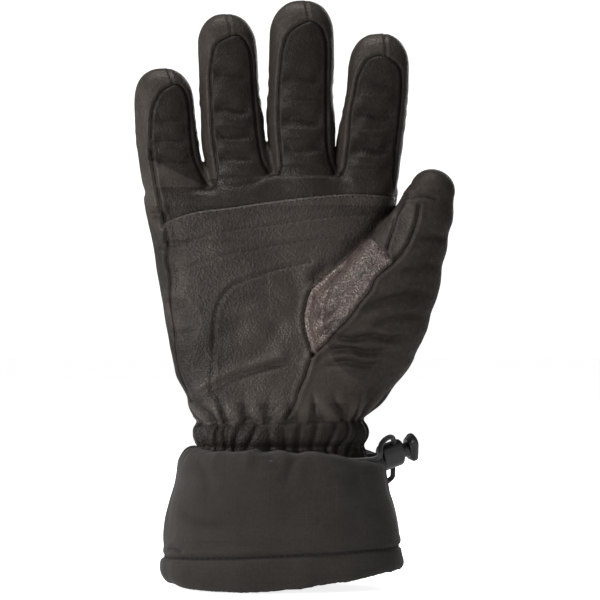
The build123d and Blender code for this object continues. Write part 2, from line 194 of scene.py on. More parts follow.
def noise2(across, up, scale, seed):
    """The same over a flat sheet, with a scale across and a scale up."""
    return noise(np.stack([across, up, 0 * across], 1), (*scale, 1.0), seed)


# ---------------------------------------------------------------- fingers
# share of the length, offset of the centreline, share of the half width
FINGER_ROWS = {
    "little": table(3, """
        -0.3 2.6 1.1     -0.12 1.9 1.08   0 0.9 1.07       0.1 0.2 1.06     0.25 -0.7 1.035
        0.4 -1.3 1.02    0.55 -1.6 1      0.66 -1.55 0.985 0.8 -1.3 0.97    1 -1 0.95"""),
    "ring": table(3, """
        -0.3 3.6 1.05    -0.1 2.6 1.05    0 1.5 1.054      0.08 0.7 1.054   0.16 -0.3 1.054
        0.25 -0.8 1.035  0.35 -0.7 1.01   0.5 -1.3 0.985   0.65 -1.2 0.962  0.75 -1.1 0.957
        0.85 -1.1 0.95   1 -0.9 0.93"""),
    "middle": table(3, """
        -0.3 1.6 0.95    -0.07 1.1 0.95   0 0.6 0.965      0.1 -0.6 0.985   0.19 -1.15 1.02
        0.3 -1.25 1.046  0.4 -1.3 1.03    0.5 -1.05 0.995  0.6 -0.5 1       0.72 -0.1 0.99
        0.85 0.1 0.975   1 0.4 0.95"""),
    "index": table(3, """
        -0.3 -0.2 0.95   -0.07 -0.5 0.965 0.04 -1.1 0.995  0.12 -1.7 1.04   0.2 -1.35 1.042
        0.3 -1.1 1.036   0.4 -0.45 1.02   0.5 -0.1 1       0.6 0.2 0.985    0.72 0.15 0.965
        0.85 -0.1 0.945  1 -0.8 0.92"""),
}
# half width, half depth at the base, height of the rounded end, where base and tip pieces meet
FINGER_SIZES = {
    "little": (14.6, 12.2, 16.5, 14.0),
    "ring": (14.8, 12.8, 17.5, 23.0),
    "middle": (15.6, 13.0, 17.5, 23.0),
    "index": (15.2, 12.8, 17.5, 23.0),
}
WIDTH_TOLERANCE = 0.12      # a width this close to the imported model's replaces it
CURL = 0.0009               # how fast a finger bends forward


def read_finger(name):
    """A finger's sizes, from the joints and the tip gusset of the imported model."""
    half_width, half_depth, cap, cut = FINGER_SIZES[name]
    knuckle = joints[f"{name}_knuckle"]
    lean = math.atan2(-knuckle["axis"][2], knuckle["axis"][0])
    base = np.array(knuckle["pos_m"]) * 1000
    mid = np.array(joints[f"{name}_middle_joint"]["pos_m"]) * 1000
    lo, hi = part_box(f"{name}_tip_gusset")
    slant = abs(math.sin(lean)) * (hi[2] - lo[2]) * 1000 * 0.62
    packed_width = ((hi[0] - lo[0]) * 1000 - slant) / 2
    if not abs(packed_width / half_width - 1) < WIDTH_TOLERANCE:
        half_width = packed_width
    return SimpleNamespace(
        name=name, base=base, mid=mid, lean=lean, length=(hi[2] * 1000 - base[2]) / math.cos(lean),
        up=np.array([math.sin(lean), 0, math.cos(lean)]), rows=FINGER_ROWS[name],
        half_width=half_width, half_depth=half_depth, cap=cap, cut=cut)


fingers = [read_finger(name) for name in FINGER_ROWS]


def finger_coords(finger, x, y, z):
    """Share of the length, distance up the finger, and offsets from its centreline."""
    rise = z - finger.base[2]
    reach = rise / math.cos(finger.lean)
    share = reach / finger.length
    centre_x = finger.base[0] + rise * math.tan(finger.lean) + station(share, finger.rows, 1)
    centre_y = -CURL * np.clip(reach, 0, None) ** 2
    return share, reach, x - centre_x, y - centre_y


def superellipse(across, deep, half_width, half_depth, power):
    """Size of a superellipse through a point, as a share of the given one, and its gradient."""
    a, b = np.abs(across) / half_width, np.abs(deep) / half_depth
    size = (a**power + b**power + 1e-9) ** (1 / power)
    slope = np.sqrt((a ** (power - 1) / half_width) ** 2 + (b ** (power - 1) / half_depth) ** 2)
    return size, slope * size ** (1 - power)


def finger_sdf(finger, x, y, z):
    share, reach, across, deep = finger_coords(finger, x, y, z)
    half_width = finger.half_width * station(share, finger.rows, 2)
    half_depth = finger.half_depth * (1.02 - 0.13 * np.clip(share, 0, 1))
    size, slope = superellipse(across, deep, half_width, half_depth, 2.55)
    into_cap = np.clip((reach - (finger.length - finger.cap)) / finger.cap, 0, None)
    power = 2.35
    full = (size**power + into_cap**power) ** (1 / power)
    slope_up = into_cap ** (power - 1) * full ** (1 - power) / finger.cap
    slope_out = slope * size ** (power - 1) * full ** (1 - power)
    return (full - 1) / np.maximum(np.sqrt(slope_out**2 + slope_up**2), 1e-3)


# ---------------------------------------------------------------- hand, wrist and cuff
# z, x of the -X edge, x of the +X edge, half depth
HAND_ROWS = table(4, """
    66 -41.4 40.6 23      72 -41 40 23.2        77 -41.4 40 23.4      82 -41.6 39.4 23
    87 -43 40.8 22.6      91 -44.4 43.2 22.2    94 -45.4 45.6 21.6    98 -47.4 49 20.6
    104 -50.4 54.5 19.6   110 -51.6 59 19       117 -53 62.5 18.6     128 -55.4 63.5 18.4
    140 -57.4 61 18.2     152 -59.6 58 17.6     164 -61.2 56.6 16.8   176 -63.6 55.6 15.6
    188 -66 55.2 13.7     196 -67.4 56 11.9     206 -68.4 56.8 10.4""")
CUFF_ROWS = table(4, """
    0 -56 57 37           8 -57.4 58.4 37.6     14 -57.8 58.4 37.6    20 -56.6 56.6 36.8
    26 -56.8 56 37.2      34 -56.2 54.6 37      44 -54.2 52.4 36.4    52 -51.8 50.6 35.6
    58 -50.6 49.6 35      63 -49.8 49.6 34.6    68 -47 48.6 33.6      71 -45 46 32""")
# x and z of the top of the palm between the fingers
PALM_TOP = path("-73 189  -33.6 192.4  -3.8 199.6  26.4 199  58 193")
# webs between the fingers: x and z at the foot, x and z at the top
WEBS = (((-35.2, 188), (-38.0, 206.5)), ((-3.4, 194), (-7.9, 216.0)), ((26.4, 194), (24.3, 206.5)))
WALL = 5.2              # thickness of the hand's wall
CUFF_WALL = WALL - 0.6


def palm_top(x):
    return np.interp(x, *PALM_TOP.T)


def cuff_top(x, y):
    dip = 7.2 * sstep(x, 8.0, 52.0) * sstep(y, 24.0, -6.0)
    return 69.6 - dip - 1.4 * bell(x - 6.0, 5.0) * (y < 0)


def hem_edge(x, y):
    """Lower edge of the hem: it rises towards both sides, most on the thumb side."""
    share = np.clip((x + 18) / 76, 0, 1)
    return (3.0 + 9.5 * share**1.5 * np.where(y > 0, 0.86, 1.0)
            + 3.0 * np.clip((-x - 30) / 27, 0, 1) ** 2)


def hem_seam(x):
    return 20.0 + 0.045 * (x + 10)


def section(x, y, z, rows, power):
    left, right, half_depth = (station(z, rows, column) for column in (1, 2, 3))
    size, slope = superellipse(x - (left + right) / 2, y, (right - left) / 2, half_depth, power)
    return (size - 1) / np.maximum(slope, 1e-3)


def body_sdf(x, y, z):
    """Hand with wrist, and cuff."""
    hand = smax(section(x, y, z, HAND_ROWS, 2.75), 60.0 - z, 2.0)
    cuff = smax(section(x, y, z, CUFF_ROWS, 2.15), z - cuff_top(x, y), 3.0)
    return hand, cuff


# ---------------------------------------------------------------- thumb
# x, y, z of the centre, half width, half depth
THUMB_ROWS = table(5, """
    36 -3 108.5 18.8 13.5      40.5 -6.5 120 23.2 15.5    43.7 -9.5 132.5 25.7 16
    53.1 -13 150.5 22.1 15.4   61.7 -16 168 16.4 14       68 -19 181 12.4 12
    71.3 -20.8 192.2 10.4 10.2""")
THUMB_CUT = 25              # where base and tip pieces meet, from the swing joint
thumb_root = np.array(joints["thumb_swing"]["pos_m"]) * 1000
thumb_mid = np.array(joints["thumb_middle_joint"]["pos_m"]) * 1000
thumb_up = (thumb_mid - thumb_root) / np.linalg.norm(thumb_mid - thumb_root)
thumb_normal = np.array([0.10, -0.97, -0.15])       # out of the thumb's broad face
thumb_normal /= np.linalg.norm(thumb_normal)


def thumb_sdf(x, y, z):
    """Tapering flattened links between the stations, melted together."""
    out = None
    for first, second in zip(THUMB_ROWS, THUMB_ROWS[1:]):
        start, width0, depth0 = first[:3], first[3], first[4]
        run = second[:3] - start
        t = np.clip(((x - start[0]) * run[0] + (y - start[1]) * run[1] + (z - start[2]) * run[2])
                    / (run @ run), 0, 1)
        px = x - start[0] - t * run[0]
        py = y - start[1] - t * run[1]
        pz = z - start[2] - t * run[2]
        half_width = width0 + (second[3] - width0) * t
        half_depth = depth0 + (second[4] - depth0) * t
        deep = px * thumb_normal[0] + py * thumb_normal[1] + pz * thumb_normal[2]
        square = px**2 + py**2 + pz**2 + 1e-6
        wide2 = np.maximum(square - deep**2, 0)
        size = np.abs(deep / half_depth) ** 2.3 + (wide2 / half_width**2) ** 1.15 + 1e-9
        gap = np.sqrt(square) * (1 - 1 / np.maximum(size ** (1 / 2.3), 1e-3))
        out = gap if out is None else smin(out, gap, 2.5)
    return out


# ---------------------------------------------------------------- meshes from fields
def surface_net(field, step, start):
    """Vertices and quads of the surface field = 0; the field is sampled every step from start."""
    inside = field < 0
    nx, ny, nz = field.shape
    total = sum(inside[i:nx - 1 + i, j:ny - 1 + j, k:nz - 1 + k].astype(np.int8)
                for i, j, k in CORNERS)
    active = (total > 0) & (total < 8)
    cells = np.argwhere(active)
    index = -np.ones(active.shape, np.int64)
    index[tuple(cells.T)] = np.arange(len(cells))
    value = {corner: field[tuple((cells + corner).T)].astype(np.float64) for corner in CORNERS}
    # each vertex is the mean of the crossings on its cell's edges
    total, count = np.zeros((len(cells), 3)), np.zeros(len(cells))
    for corner in CORNERS:
        for axis in range(3):
            if corner[axis]:
                continue
            other = list(corner)
            other[axis] = 1
            f0, f1 = value[corner], value[tuple(other)]
            cross = (f0 < 0) != (f1 < 0)
            point = np.tile(np.array(corner, float), (len(cells), 1))
            point[:, axis] += np.where(cross, f0 / np.where(f0 == f1, 1, f0 - f1), 0)
            total += np.where(cross[:, None], point, 0)
            count += cross
    vertices = (cells + total / count[:, None]) * step + start
    faces = []
    for axis in range(3):
        p, q = [a for a in range(3) if a != axis]
        below, above = [slice(None)] * 3, [slice(None)] * 3
        below[axis], above[axis] = slice(0, -1), slice(1, None)
        below_in = inside[tuple(below)]
        edge = np.argwhere(below_in != inside[tuple(above)])
        edge = edge[(edge[:, p] > 0) & (edge[:, q] > 0)
                    & (edge[:, p] < field.shape[p] - 1) & (edge[:, q] < field.shape[q] - 1)]
        ring = []
        for dp, dq in ((1, 1), (0, 1), (0, 0), (1, 0)):
            cell = edge.copy()
            cell[:, p] -= dp
            cell[:, q] -= dq
            ring.append(index[tuple(cell.T)])
        ring = np.stack(ring, 1)
        leaving = below_in[tuple(edge.T)]
        turn = leaving if axis == 1 else ~leaving
        ring[turn] = ring[turn][:, ::-1]
        faces.append(ring)
    return vertices, np.concatenate(faces)


def vertex_normals(vertices, faces):
    face_normal = np.cross(vertices[faces[:, 2]] - vertices[faces[:, 0]],
                           vertices[faces[:, 3]] - vertices[faces[:, 1]])
    out = np.zeros_like(vertices)
    for corner in range(4):
        for a in range(3):
            out[:, a] += np.bincount(faces[:, corner], face_normal[:, a], len(vertices))
    return out / np.maximum(np.linalg.norm(out, axis=1), 1e-9)[:, None]


def edges_of(faces):
    pairs = np.concatenate([faces[:, [i, (i + 1) % 4]] for i in range(4)])
    pairs.sort(axis=1)
    return np.unique(pairs, axis=0)


def smooth(vertices, edges, rounds):
    """Smoothing in pairs of passes, one in and one out, so that nothing shrinks."""
    start, end = edges.T
    degree = np.bincount(edges.ravel(), minlength=len(vertices)).astype(float)
    for _ in range(rounds):
        for strength in (0.5, -0.53):
            total = np.zeros_like(vertices)
            for a in range(3):
                total[:, a] = (np.bincount(start, vertices[end, a], len(vertices))
                               + np.bincount(end, vertices[start, a], len(vertices)))
            vertices = vertices + (total / degree[:, None] - vertices) * strength
    return vertices


# ---------------------------------------------------------------- the glove as one field
GRID_LO, GRID_HI = np.array([-74.0, -47.0, -2.0]), np.array([86.0, 44.0, 290.0])
grid_size = [int(math.ceil(v)) for v in (GRID_HI - GRID_LO) / STEP]
grid = [(lo + np.arange(count) * STEP).astype(np.float32) for lo, count in zip(GRID_LO, grid_size)]


def spread(ax, ay, az):
    return ax[:, None, None], ay[None, :, None], az[None, None, :]


def window(lo, hi):
    """The part of the grid between two corners, and its coordinates."""
    first = np.clip(((np.array(lo) - GRID_LO) / STEP).astype(int), 0, None)
    last = np.minimum(((np.array(hi) - GRID_LO) / STEP).astype(int) + 2, grid_size)
    part = tuple(slice(int(a), int(b)) for a, b in zip(first, last))
    return part, *spread(*(axis[cut] for axis, cut in zip(grid, part)))


def glove_field():
    """Signed distance of the glove on the grid, and that of the padding inside the hand."""
    top = int((212 - GRID_LO[2]) / STEP)        # hand and cuff end below this layer
    x, y, z = spread(grid[0], grid[1], grid[2][:top])
    hand, cuff = body_sdf(x, y, z)
    web_top = palm_top(grid[0])[:, None, None]
    field = np.full(grid_size, 30.0, np.float32)
    field[:, :, :top] = smin(smax(hand, z - web_top - 1.0, 4.0),
                             smax(cuff, hem_edge(x, y) - z, 6.0), 1.5)
    hollow = np.minimum(smax(hand + WALL, z - 182.0, 6.0),
                        smax(cuff + CUFF_WALL, z - cuff_top(x, y) + 7.5, 3.0))
    padding = smax(smax(hand + 0.9, z - web_top + 1.5, 4.0), 97.0 - z, 2.0)
    padding = smax(padding, -smax(hand + 5.4, z - 181.0, 6.0), 1.0)

    for finger in fingers:
        base_x, _, base_z = finger.base
        ends = sorted((base_x, base_x + math.tan(finger.lean) * finger.length))
        part, wx, wy, wz = window((ends[0] - 21, -26, base_z - 16),
                                  (ends[1] + 21, 18, base_z + finger.length + 3))
        gap = finger_sdf(finger, wx, wy, wz)
        # a finger narrows as it goes into the palm, so that it leaves no step there
        gap = gap + 2.6 * sstep(wz, base_z + 3.0, base_z - 13.0)
        gap = smax(gap, base_z - 13 - wz, 5.0)
        # neighbours meet in a crease, the palm blends in
        blend = sstep(wz, base_z + 1.0, base_z - 7.0)
        field[part] = (np.minimum(field[part], gap) * (1 - blend)
                       + smin(field[part], gap, 5.0) * blend)
    for (foot_x, foot_z), (end_x, end_z) in WEBS:
        part, wx, wy, wz = window((min(foot_x, end_x) - 8, -14, foot_z - 6),
                                  (max(foot_x, end_x) + 8, 12, end_z + 4))
        centre = foot_x + (end_x - foot_x) * np.clip((wz - foot_z) / (end_z - foot_z), 0, 1)
        web = smax(np.abs(wx - centre) - 3.0, np.abs(wy + 0.5) - 5.5, 1.5)
        web = smax(web, wz - end_z + 0.12 * wy**2, 1.5)
        field[part] = smin(field[part], web, 1.6)

    part, wx, wy, wz = window((8, -46, 78), (86, 14, 208))
    thumb = thumb_sdf(wx, wy, wz).astype(np.float32)
    padding[part] = np.maximum(padding[part], hand[part] + 0.9 + 1.6 * sstep(thumb, 7.0, 0.0))
    radius = 1.0 + 6.0 * sstep(wz, 134, 104) * sstep(wx, 20.0, 36.0)
    field[part] = smin(field[part], thumb, radius)
    field[:, :, :top] = smax(field[:, :, :top], -hollow, 2.0)
    return field, padding


field, hand_padding = glove_field()
verts, quads = surface_net(field, STEP, GRID_LO)
edges = edges_of(quads)
verts = smooth(verts, edges, 3)
normals = vertex_normals(verts, quads)

# which part of the glove each vertex belongs to
x, y, z = verts.T
view = project(verts)
view_x, view_z = view.T
hand_gap, cuff_gap = body_sdf(x, y, z)
hollow_gap = np.minimum(hand_gap + WALL, cuff_gap + CUFF_WALL)
is_lining = (np.minimum(hand_gap, cuff_gap) < -2.8) & (z < 190) & (hollow_gap > -2.6)
outer = ~is_lining
thumb_gap = thumb_sdf(x, y, z)
finger_gaps = np.stack([finger_sdf(finger, x, y, z) for finger in fingers])
nearest = np.argmin(finger_gaps, 0)
finger_gap = finger_gaps[nearest, np.arange(len(x))]
palm_gap = np.maximum(hand_gap, z - palm_top(x) - 1.0)
on_finger = [(nearest == i) & (finger_gap < palm_gap + 1.0) & (z > finger.base[2] - 10)
             & (finger_gap < thumb_gap) for i, finger in enumerate(fingers)]
is_thumb = (thumb_gap < np.minimum(hand_gap, cuff_gap) + 0.2) & outer & (z > 84)
is_cuff = (cuff_gap < hand_gap) & (z < 73) & outer
front = np.clip(-normals[:, 1] * 2.2 + 0.25, 0, 1)
back = np.clip(normals[:, 1] * 2.2 + 0.25, 0, 1)
palm = outer & ~is_thumb & ~is_cuff & (z > 92) & (z < 215)
palm_front = palm * front

# ---------------------------------------------------------------- sewn lines of the front view
FINGER_SEAM = {     # edge of the finger's palm side
    "little": path("""
        -62.4 207.84  -63.072 217.92  -62.592 229.44  -60.96 235.2  -57.6 240.96
        -52.032 243.984  -48.48 243.36  -45.6 238.56  -44.4 230.88  -43.68 217.92
        -41.76 207.84  -37.92 199.2  -34.08 193.92"""),
    "ring": path("""
        -32.64 194.4  -31.44 202.08  -32.16 208.8  -33.6 219.84  -34.08 229.44
        -34.8 247.68  -33.6 257.28  -32.64 261.6  -29.76 264.96  -22.56 267.84
        -18.72 266.4  -15.84 261.6  -14.4 254.88  -13.68 241.44  -12.72 229.44
        -11.52 217.44  -9.6 207.84  -6.24 201.12"""),
    "middle": path("""
        -2.88 199.68  -0.72 204  -0.96 211.68  -1.92 222.24  -1.92 237.6  -0.96 251.04
        0 259.68  1.92 266.4  5.28 270.72  12.96 274.56  18.24 272.16  20.64 267.36
        21.6 260.64  21.36 246.24  21.36 231.84  21.6 217.44  22.56 208.8  25.44 200.64"""),
    "index": path("""
        27.12 199.68  29.76 204  30.72 208.8  31.68 216.96  32.64 230.88  34.56 240
        36 247.2  38.4 252.48  41.28 256.32  47.52 258.24  52.32 256.32  56.16 252.48
        57.36 247.2  57.12 237.6  56.16 227.04  54.72 215.04  53.76 203.04  53.28 193.44"""),
}
TIP_SEAM = {
    "little": path("-54.72 251.04  -52.32 244.8"),
    "ring": path("-26.4 277.44  -24.96 272.16  -24.48 267.84"),
    "middle": path("11.52 283.68  12.96 275.04"),
    "index": path("49.44 268.32  50.16 258.72"),
}
# Rows of folds: depth, width, then x z pairs
FINGER_FOLDS = {
    "little": """
        0.9 2.0  -62.4 216.48  -56.16 217.92  -49.92 216.96  -44.16 218.4
        0.9 2.1  -61.92 206.4  -54.72 207.84  -47.04 206.88  -41.28 208.8
        0.5 1.9  -61.44 228  -55.68 226.56  -46.08 228.48
        0.6 2.2  -60 197.28  -51.36 196.32  -41.28 198.24""",
    "ring": """
        0.7 2.1  -34.08 248.16  -27.36 249.6  -20.16 248.16  -14.4 250.08
        0.9 2.2  -33.6 231.84  -26.88 233.28  -19.68 231.36  -13.44 233.28
        0.7 2.2  -32.64 220.8  -24 219.36  -12.48 221.76
        0.7 2.4  -31.68 208.8  -22.08 209.76  -11.52 207.84
        0.5 2.6  -30.72 198.24  -20.16 197.28  -9.6 199.2""",
    "middle": """
        0.75 2.2  -0.96 246.24  6.24 247.68  14.4 246.24  21.12 248.16
        0.9 2.3  -1.44 226.56  6.72 228  14.4 226.08  21.12 228
        0.7 2.4  -0.96 214.56  8.64 213.12  21.12 215.52
        0.5 2.6  0.48 202.08  11.04 203.04  22.08 201.12""",
    "index": """
        0.85 2.2  33.12 228.48  40.32 230.4  48 228.48  55.68 230.88
        0.95 2.2  31.68 212.64  39.36 214.08  47.04 212.16  54.24 214.08
        0.45 2.0  35.04 243.36  43.2 244.32  55.68 242.4
        0.55 2.5  31.2 201.12  41.28 199.68  53.28 202.08""",
}
PALM_FOLDS = """
    0.9 1.8  -63.36 182.4  -59.52 181.44  -54.72 179.52
    0.7 1.7  -61.92 167.04  -57.6 166.56  -53.76 168
    0.5 2.2  -57.12 140.64  -51.36 138.72  -44.16 139.2
    0.5 2.4  -54.72 125.28  -48 123.84  -39.36 125.76
    0.6 2.2  23.04 158.88  17.28 153.12  12.48 148.8
    0.5 4.0  -27.36 126.24  -12.96 130.08  3.84 126.24
    0.6 4.5  -22.56 106.08  -9.6 116.64  1.44 132
    0.45 3.2  -44.16 106.08  -35.52 114.24  -28.8 126.24
    0.45 4.0  1.92 158.88  6.72 145.44  7.2 130.08
    0.4 3.4  -20.16 140.64  -9.6 142.56  3.84 140.64"""
LOW_THUMB_FOLDS = """
    0.9 2.3  23.04 123.36  33.6 121.44  43.2 123.36  52.8 121.92  62.4 124.32
    0.9 2.2  21.12 115.68  31.68 117.12  42.24 115.2  52.8 117.12
    0.7 2.2  19.2 108.96  30.24 110.88  40.32 108.96  48.96 110.88
    0.5 2.4  43.2 128.64  54.24 132  66.24 133.92
    0.5 2.2  17.28 123.36  23.04 127.2  27.84 132"""
HIGH_THUMB_FOLDS = """
    1.0 2.6  37.44 134.88  48 139.68  60.48 142.56  72 144.48
    0.5 2.4  55.68 154.08  64.32 156  75.84 158.88
    0.4 2.2  65.28 169.44  72 170.88  79.68 169.92
    0.6 2.4  15.84 132  22.08 134.88  27.84 140.64
    0.5 2.4  23.04 142.56  29.76 145.44  35.52 150.24
    0.4 2.4  33.6 150.24  40.32 154.08  47.04 160.8"""
CUFF_FOLDS = """
    0.45 2.6  -11.52 73.44  -7.68 67.68  -0.96 57.12
    0.7 2.6  8.64 67.68  4.8 61.92  0.96 51.36
    0.6 2.6  17.28 67.68  25.92 62.88  38.4 60
    0.5 3.0  -43.2 64.8  -37.44 56.16  -35.52 44.64
    0.5 4.0  33.6 59.04  38.4 44.64  48.96 30.24
    0.35 3.6  -50.88 38.88  -39.36 33.12  -24 32.16"""
PATCH_TOP = path("""
    -58.56 177.12  -56.64 177.6  -48.48 180.96  -38.88 183.36  -26.4 184.8  -9.6 187.2
    8.64 189.6  13.92 190.08  32.16 191.52  44.64 191.04  55.2 190.08""")
UPPER_STITCH = path("""
    -53.28 166.56  -46.08 168.48  -34.08 172.32  -21.6 174.72  -4.32 176.64  7.68 178.56
    25.92 180.96  42.72 181.44""")
LOWER_STITCH = path("""
    -51.84 154.08  -43.68 157.44  -33.12 160.8  -24 163.2  -12 165.12  1.44 168
    20.16 170.4  27.84 170.88""")
BENT_STITCH = path("""
    13.92 158.88  1.44 156.48  -9.6 153.12  -19.2 149.76  -24 147.36  -28.32 142.56
    -31.2 136.32  -32.16 130.56  -32.64 120.96  -33.12 110.88  -33.6 103.68  -34.08 97.44""")
SIDE_SEAM = path("""
    -63.36 212.64  -62.4 207.84  -60 192.96  -56.64 177.6  -55.2 170.88  -54.96 163.68
    -55.44 159.84  -53.76 151.2  -53.76 139.2  -51.84 125.76  -51.12 116.16
    -49.44 106.08  -45.6 96.48  -43.2 90.72""")
HEEL_HOLLOW = path("""
    -41.28 94.56  -33.12 98.88  -22.08 104.16  -11.52 107.52  0.96 110.88  8.64 110.88""")
HEEL_RIDGE = path("-39.36 98.4  -33.12 100.8  -22.08 106.08  -11.52 109.92  -0.96 113.28")
HEEL_HIGHLIGHT = path("-36.48 100.32  -24.96 105.12  -12.48 109.44  -2.88 112.8")
GUSSET_INNER = path("""     # on the palm, down to the foot of the gusset
    """.split("#")[0] + """
    19.68 150.72  13.92 145.44  11.52 138.24  10.56 132  11.52 125.28  13.92 117.12
    14.88 114.24""")
GUSSET_OUTER = path("""
    14.88 114.24  21.12 120  26.4 126.24  32.16 132  37.44 139.2  42.72 145.92
    45.12 151.2  53.76 158.88  60 166.56  64.32 177.12  66 186.24""")
GUSSET_TIP = path("66 186.24  65.76 189.12  62.88 193.44  58.56 190.56")
CROSS_SEAM = path("43.2 169.92  47.04 165.6  51.36 160.8")
FACING_SEAM = path("51.36 160.8  50.88 166.56  54.24 176.16  55.68 180.96  60.96 190.08")
STEM_SEAM = path("14.88 114.24  13.44 110.88  11.04 103.2  8.16 96.96  6.24 90.72  2.4 84")
STEM_END = path("0.96 78.24  0 68.64")
THUMB_EDGE = path("""
    58.56 190.56  53.76 183.36  47.04 176.64  43.2 170.88  36 165.6  28.8 158.88
    18.72 150.72""")
THUMB_TIP_SEAM = path("62.4 188.64  68.16 190.08  73.92 189.12")
CUFF_PLEAT = path("-56.64 20.16  -52.8 21.12  -47.04 19.2")
# the same for the back of the hand, seen straight along Y
BACK_LINES = (path("-60 186  -40 181  -10 184  20 186  52 180"),
              path("-52 150  -20 143  12 143  50 150"),
              path("-44 112  0 108  48 112"))

# ---------------------------------------------------------------- relief, painted shade and painted highlights
height = np.zeros(len(verts))    # how far each vertex moves out
painted_shade = np.zeros(len(verts))      # painted shade: darker tone in seams, creases and hollows
painted_highlight = np.zeros(len(verts))      # painted highlights: lighter tone on ridges, lit edges and sheen


def push(amount):
    height[:] += amount


# records painted shade, a darker tone in seams, creases and hollows
def paint_shade(amount):
    np.maximum(painted_shade, amount, out=painted_shade)


# records painted highlights, a lighter tone on ridges, lit edges and sheen
def paint_highlight(amount):
    np.maximum(painted_highlight, amount, out=painted_highlight)


def groove(line, mask, depth, width, puff, shade):
    """A sewn line: a narrow channel with the cloth puffed up beside it, and painted shade in the
    channel.
    """
    gap, _ = near_line(line, view)
    channel = bell(gap, width)
    beside = bell(gap - 2.3 * width, 1.7 * width)
    push(mask * (-depth * channel + puff * beside * (1 - channel)))
    # painted shade in the channel
    paint_shade(mask * shade * bell(gap, width * 0.8))


def fold(line, mask, depth, width, puff, shade):
    """A soft crease in the cloth with painted shade along it, fading out at both ends."""
    gap, _ = near_line(line, view)
    start, run = line[0], line[-1] - line[0]
    along = ((view - start) @ run) / (run @ run)
    mask = mask * sstep(along, -0.05, 0.25) * sstep(along, 1.05, 0.75)
    push(mask * (-depth * bell(gap, width) + puff * bell(gap - 2.0 * width, 1.4 * width)))
    # painted shade in the crease
    paint_shade(mask * shade * bell(gap, width * 0.7))


def folds(rows, mask, depth, width, puff, shade):
    """A table of folds; depth, width and puff scale its own numbers."""
    for row in rows.strip().splitlines():
        deep, wide, *flat = map(float, row.split())
        fold(np.reshape(flat, (-1, 2)), mask, depth * deep, width * wide, puff * deep, shade)


def finger_relief(i, finger):
    share, reach, across, _ = finger_coords(finger, x, y, z)
    on_front, on_back = on_finger[i] * front, on_finger[i] * back
    base_z = finger.base[2]
    groove(FINGER_SEAM[finger.name], on_front * sstep(z, base_z - 8, base_z + 4),
           depth=0.8, width=0.58, puff=0.26, shade=0.62)
    groove(TIP_SEAM[finger.name], on_front, depth=0.45, width=0.6, puff=0.2, shade=0.25)
    strength = 0.6 if finger.name == "little" else 1.0
    folds(FINGER_FOLDS[finger.name], on_front,
          depth=1.9 * strength, width=1.5, puff=0.7 * strength, shade=0.40)
    for sign in (-1, 1):        # two lengthwise seams on the back
        gap = np.abs(across - sign * back_half_width(finger, share))
        seam = bell(gap, 0.8) * on_back * sstep(reach, -6, 2) * sstep(share, 1.0, 0.9)
        push(-0.7 * seam + 0.3 * bell(gap - 1.9, 1.3) * on_back)
        # painted shade in the seam channel
        paint_shade(seam * 0.8)
    wobble = noise2(x, 0 * x, (9.0, 9.0), 31 + i) * 1.2
    # tucks across the back: share of the length, depth
    for at, depth in ((0.30, 0.5), (0.42, 0.9), (0.50, 1.0), (0.58, 0.6), (0.80, 0.35)):
        gap = reach - at * finger.length + wobble
        push(on_back * (-depth * bell(gap, 1.8) + 0.5 * depth * bell(np.abs(gap) - 3.6, 2.4)))
        # painted shade in the tuck
        paint_shade(on_back * 0.35 * bell(gap, 1.2))
    # painted highlight at the fingertip and on the lower -X side of the finger, which faces the key
    # light
    tip = sstep(share, 0.86, 0.97) + 0.5 * sstep(-across, 6.0, 13.0) * sstep(share, 0.0, 0.4)
    paint_highlight(outer * np.clip(front + 0.4, 0, 1) * np.clip(on_finger[i] * tip, 0, 1) * 0.38)


def back_half_width(finger, share):
    """Half the width between the two seams on the back of a finger."""
    return finger.half_width * 0.55 * (1 - 0.1 * share)


def palm_relief():
    # the patch lies on top of the palm along its upper edge
    gap, side = near_line(PATCH_TOP, view)
    on_patch = view_x > -57
    edge = palm_front * on_patch * (view_z > 150)
    push(edge * np.where(side < 0, 0.55 * sstep(gap, 0.0, 0.7), -0.35 * bell(gap, 1.1))
         * sstep(gap, 14, 9))
    push(palm_front * (side < 0) * 0.55 * sstep(gap, 9, 14) * on_patch)
    # painted shade just above the patch's edge and a painted highlight on its raised rim
    paint_shade(edge * (side > 0) * 0.9 * bell(gap, 0.8))
    paint_highlight(edge * (side < 0) * bell(gap - 0.5, 0.5))
    for line in (UPPER_STITCH, LOWER_STITCH):
        groove(line, palm_front, depth=0.22, width=0.8, puff=0.16, shade=0.2)
    groove(BENT_STITCH, palm_front, depth=0.32, width=0.9, puff=0.3, shade=0.25)
    groove(SIDE_SEAM, palm * np.clip(front + 0.3, 0, 1), depth=0.8, width=0.8, puff=0.4, shade=0.5)
    folds(PALM_FOLDS, palm_front, depth=1.35, width=1.0, puff=0.6, shade=0.25)


def heel_relief():
    """A ridge across the heel of the palm with a hollow under it, painted shade in the hollow and a
    painted highlight along the ridge.
    """
    low = front * (z < 130)
    fold(HEEL_HOLLOW, outer * low, depth=2.5, width=2.4, puff=0.0, shade=0.9)
    gap, _ = near_line(HEEL_RIDGE, view)
    push(outer * low * 1.4 * bell(gap, 2.8))
    paint_highlight(palm_front * bell(gap, 3.6) * (z < 130))


